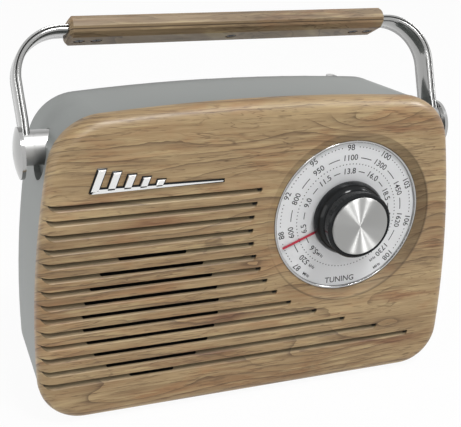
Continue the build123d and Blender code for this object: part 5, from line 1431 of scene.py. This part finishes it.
# %% [markdown]
# ## Studio
#
# A soft lamp overhead gives the main light, weaker ones at the left, right and front open the
# shadows, and the world fills evenly. Three more lamps only show in gloss, as white cards in a
# studio do, and draw the wedges on the turned disc. The floor and the world are white to the camera
# and to gloss, so that plated parts show a white room, while the light they add stays plain.

# %% Lamps
AIM = Vector((0, 0, 0.1))
OVERHEAD, RIGHT, FRONT = (0.25, -0.95, 1.95), (1.46, -0.5, 1.38), (-0.4, -1.6, 1.3)
LAMPS = (
    # name, place, size, power, also lights the object
    ("key lamp", OVERHEAD, 0.45, 20, True),
    ("side lamp", (-1.7, -0.2, 0.5), 1.0, 6, True),
    ("right lamp", RIGHT, 0.35, 7, True),
    ("front lamp", FRONT, 0.3, 3, True),
    ("top shine", OVERHEAD, 0.3, 18, False),
    ("right shine", RIGHT, 0.3, 26, False),
    ("front shine", FRONT, 0.3, 12, False),
)
for name, place, size, power, lights in LAMPS:
    lamp = bpy.data.lights.new(name, "AREA")
    lamp.energy, lamp.size = power, size
    holder = add_object(name, lamp)
    facing = (AIM - Vector(place)).to_track_quat("-Z", "Y").to_matrix().to_4x4()
    holder.matrix_world = Matrix.Translation(place) @ facing
    holder.visible_diffuse = lights
print("lamps:", len(LAMPS))


# %% White to the camera and to gloss
def seen_directly(tree):
    """1 for camera, glossy and transmission rays, 0 for the light a surface receives."""
    rays = tree.nodes.new("ShaderNodeLightPath").outputs
    seen = Signal(tree, rays["Is Camera Ray"]).larger(rays["Is Glossy Ray"])
    return seen.larger(rays["Is Transmission Ray"])


WORLD_LIGHT = 0.33
world = bpy.data.worlds.new("studio")
bpy.context.scene.world = world
world.use_nodes = True
tree = world.node_tree
backdrop = tree.nodes["Background"].inputs
fill(tree, backdrop["Strength"], seen_directly(tree) * (1 - WORLD_LIGHT) + WORLD_LIGHT)
fill(tree, backdrop["Color"], (1, 1, 1, 1))
print("world light:", WORLD_LIGHT)

# %% Floor
REACH, PAPER_GLOW = 6.0, 0.95
corners = [(-REACH, -REACH, 0), (REACH, -REACH, 0), (REACH, REACH, 0), (-REACH, REACH, 0)]
floor_mesh = bpy.data.meshes.new("floor")
floor_mesh.from_pydata(corners, [], [(0, 1, 2, 3)])
floor = add_object("floor", floor_mesh)
paper = bpy.data.materials.new("pale paper")
paper.use_nodes = True
tree = paper.node_tree
shader = shader_of(paper)
for socket, value in {
    "Base Color": (0.88, 0.88, 0.88, 1), "Roughness": 0.9, "Specular IOR Level": 0.1
}.items():
    shader.inputs[socket].default_value = value
glow = add_node(tree, "ShaderNodeEmission", {"Color": (1, 1, 1, 1), "Strength": 1.0})
mixed = add_node(
    tree, "ShaderNodeMixShader",
    {0: seen_directly(tree) * PAPER_GLOW, 1: shader.outputs[0], 2: glow.outputs[0]},
)
fill(tree, tree.nodes["Material Output"].inputs["Surface"], mixed.outputs[0])
floor_mesh.materials.append(paper)
print("floor reaches", REACH, "m")
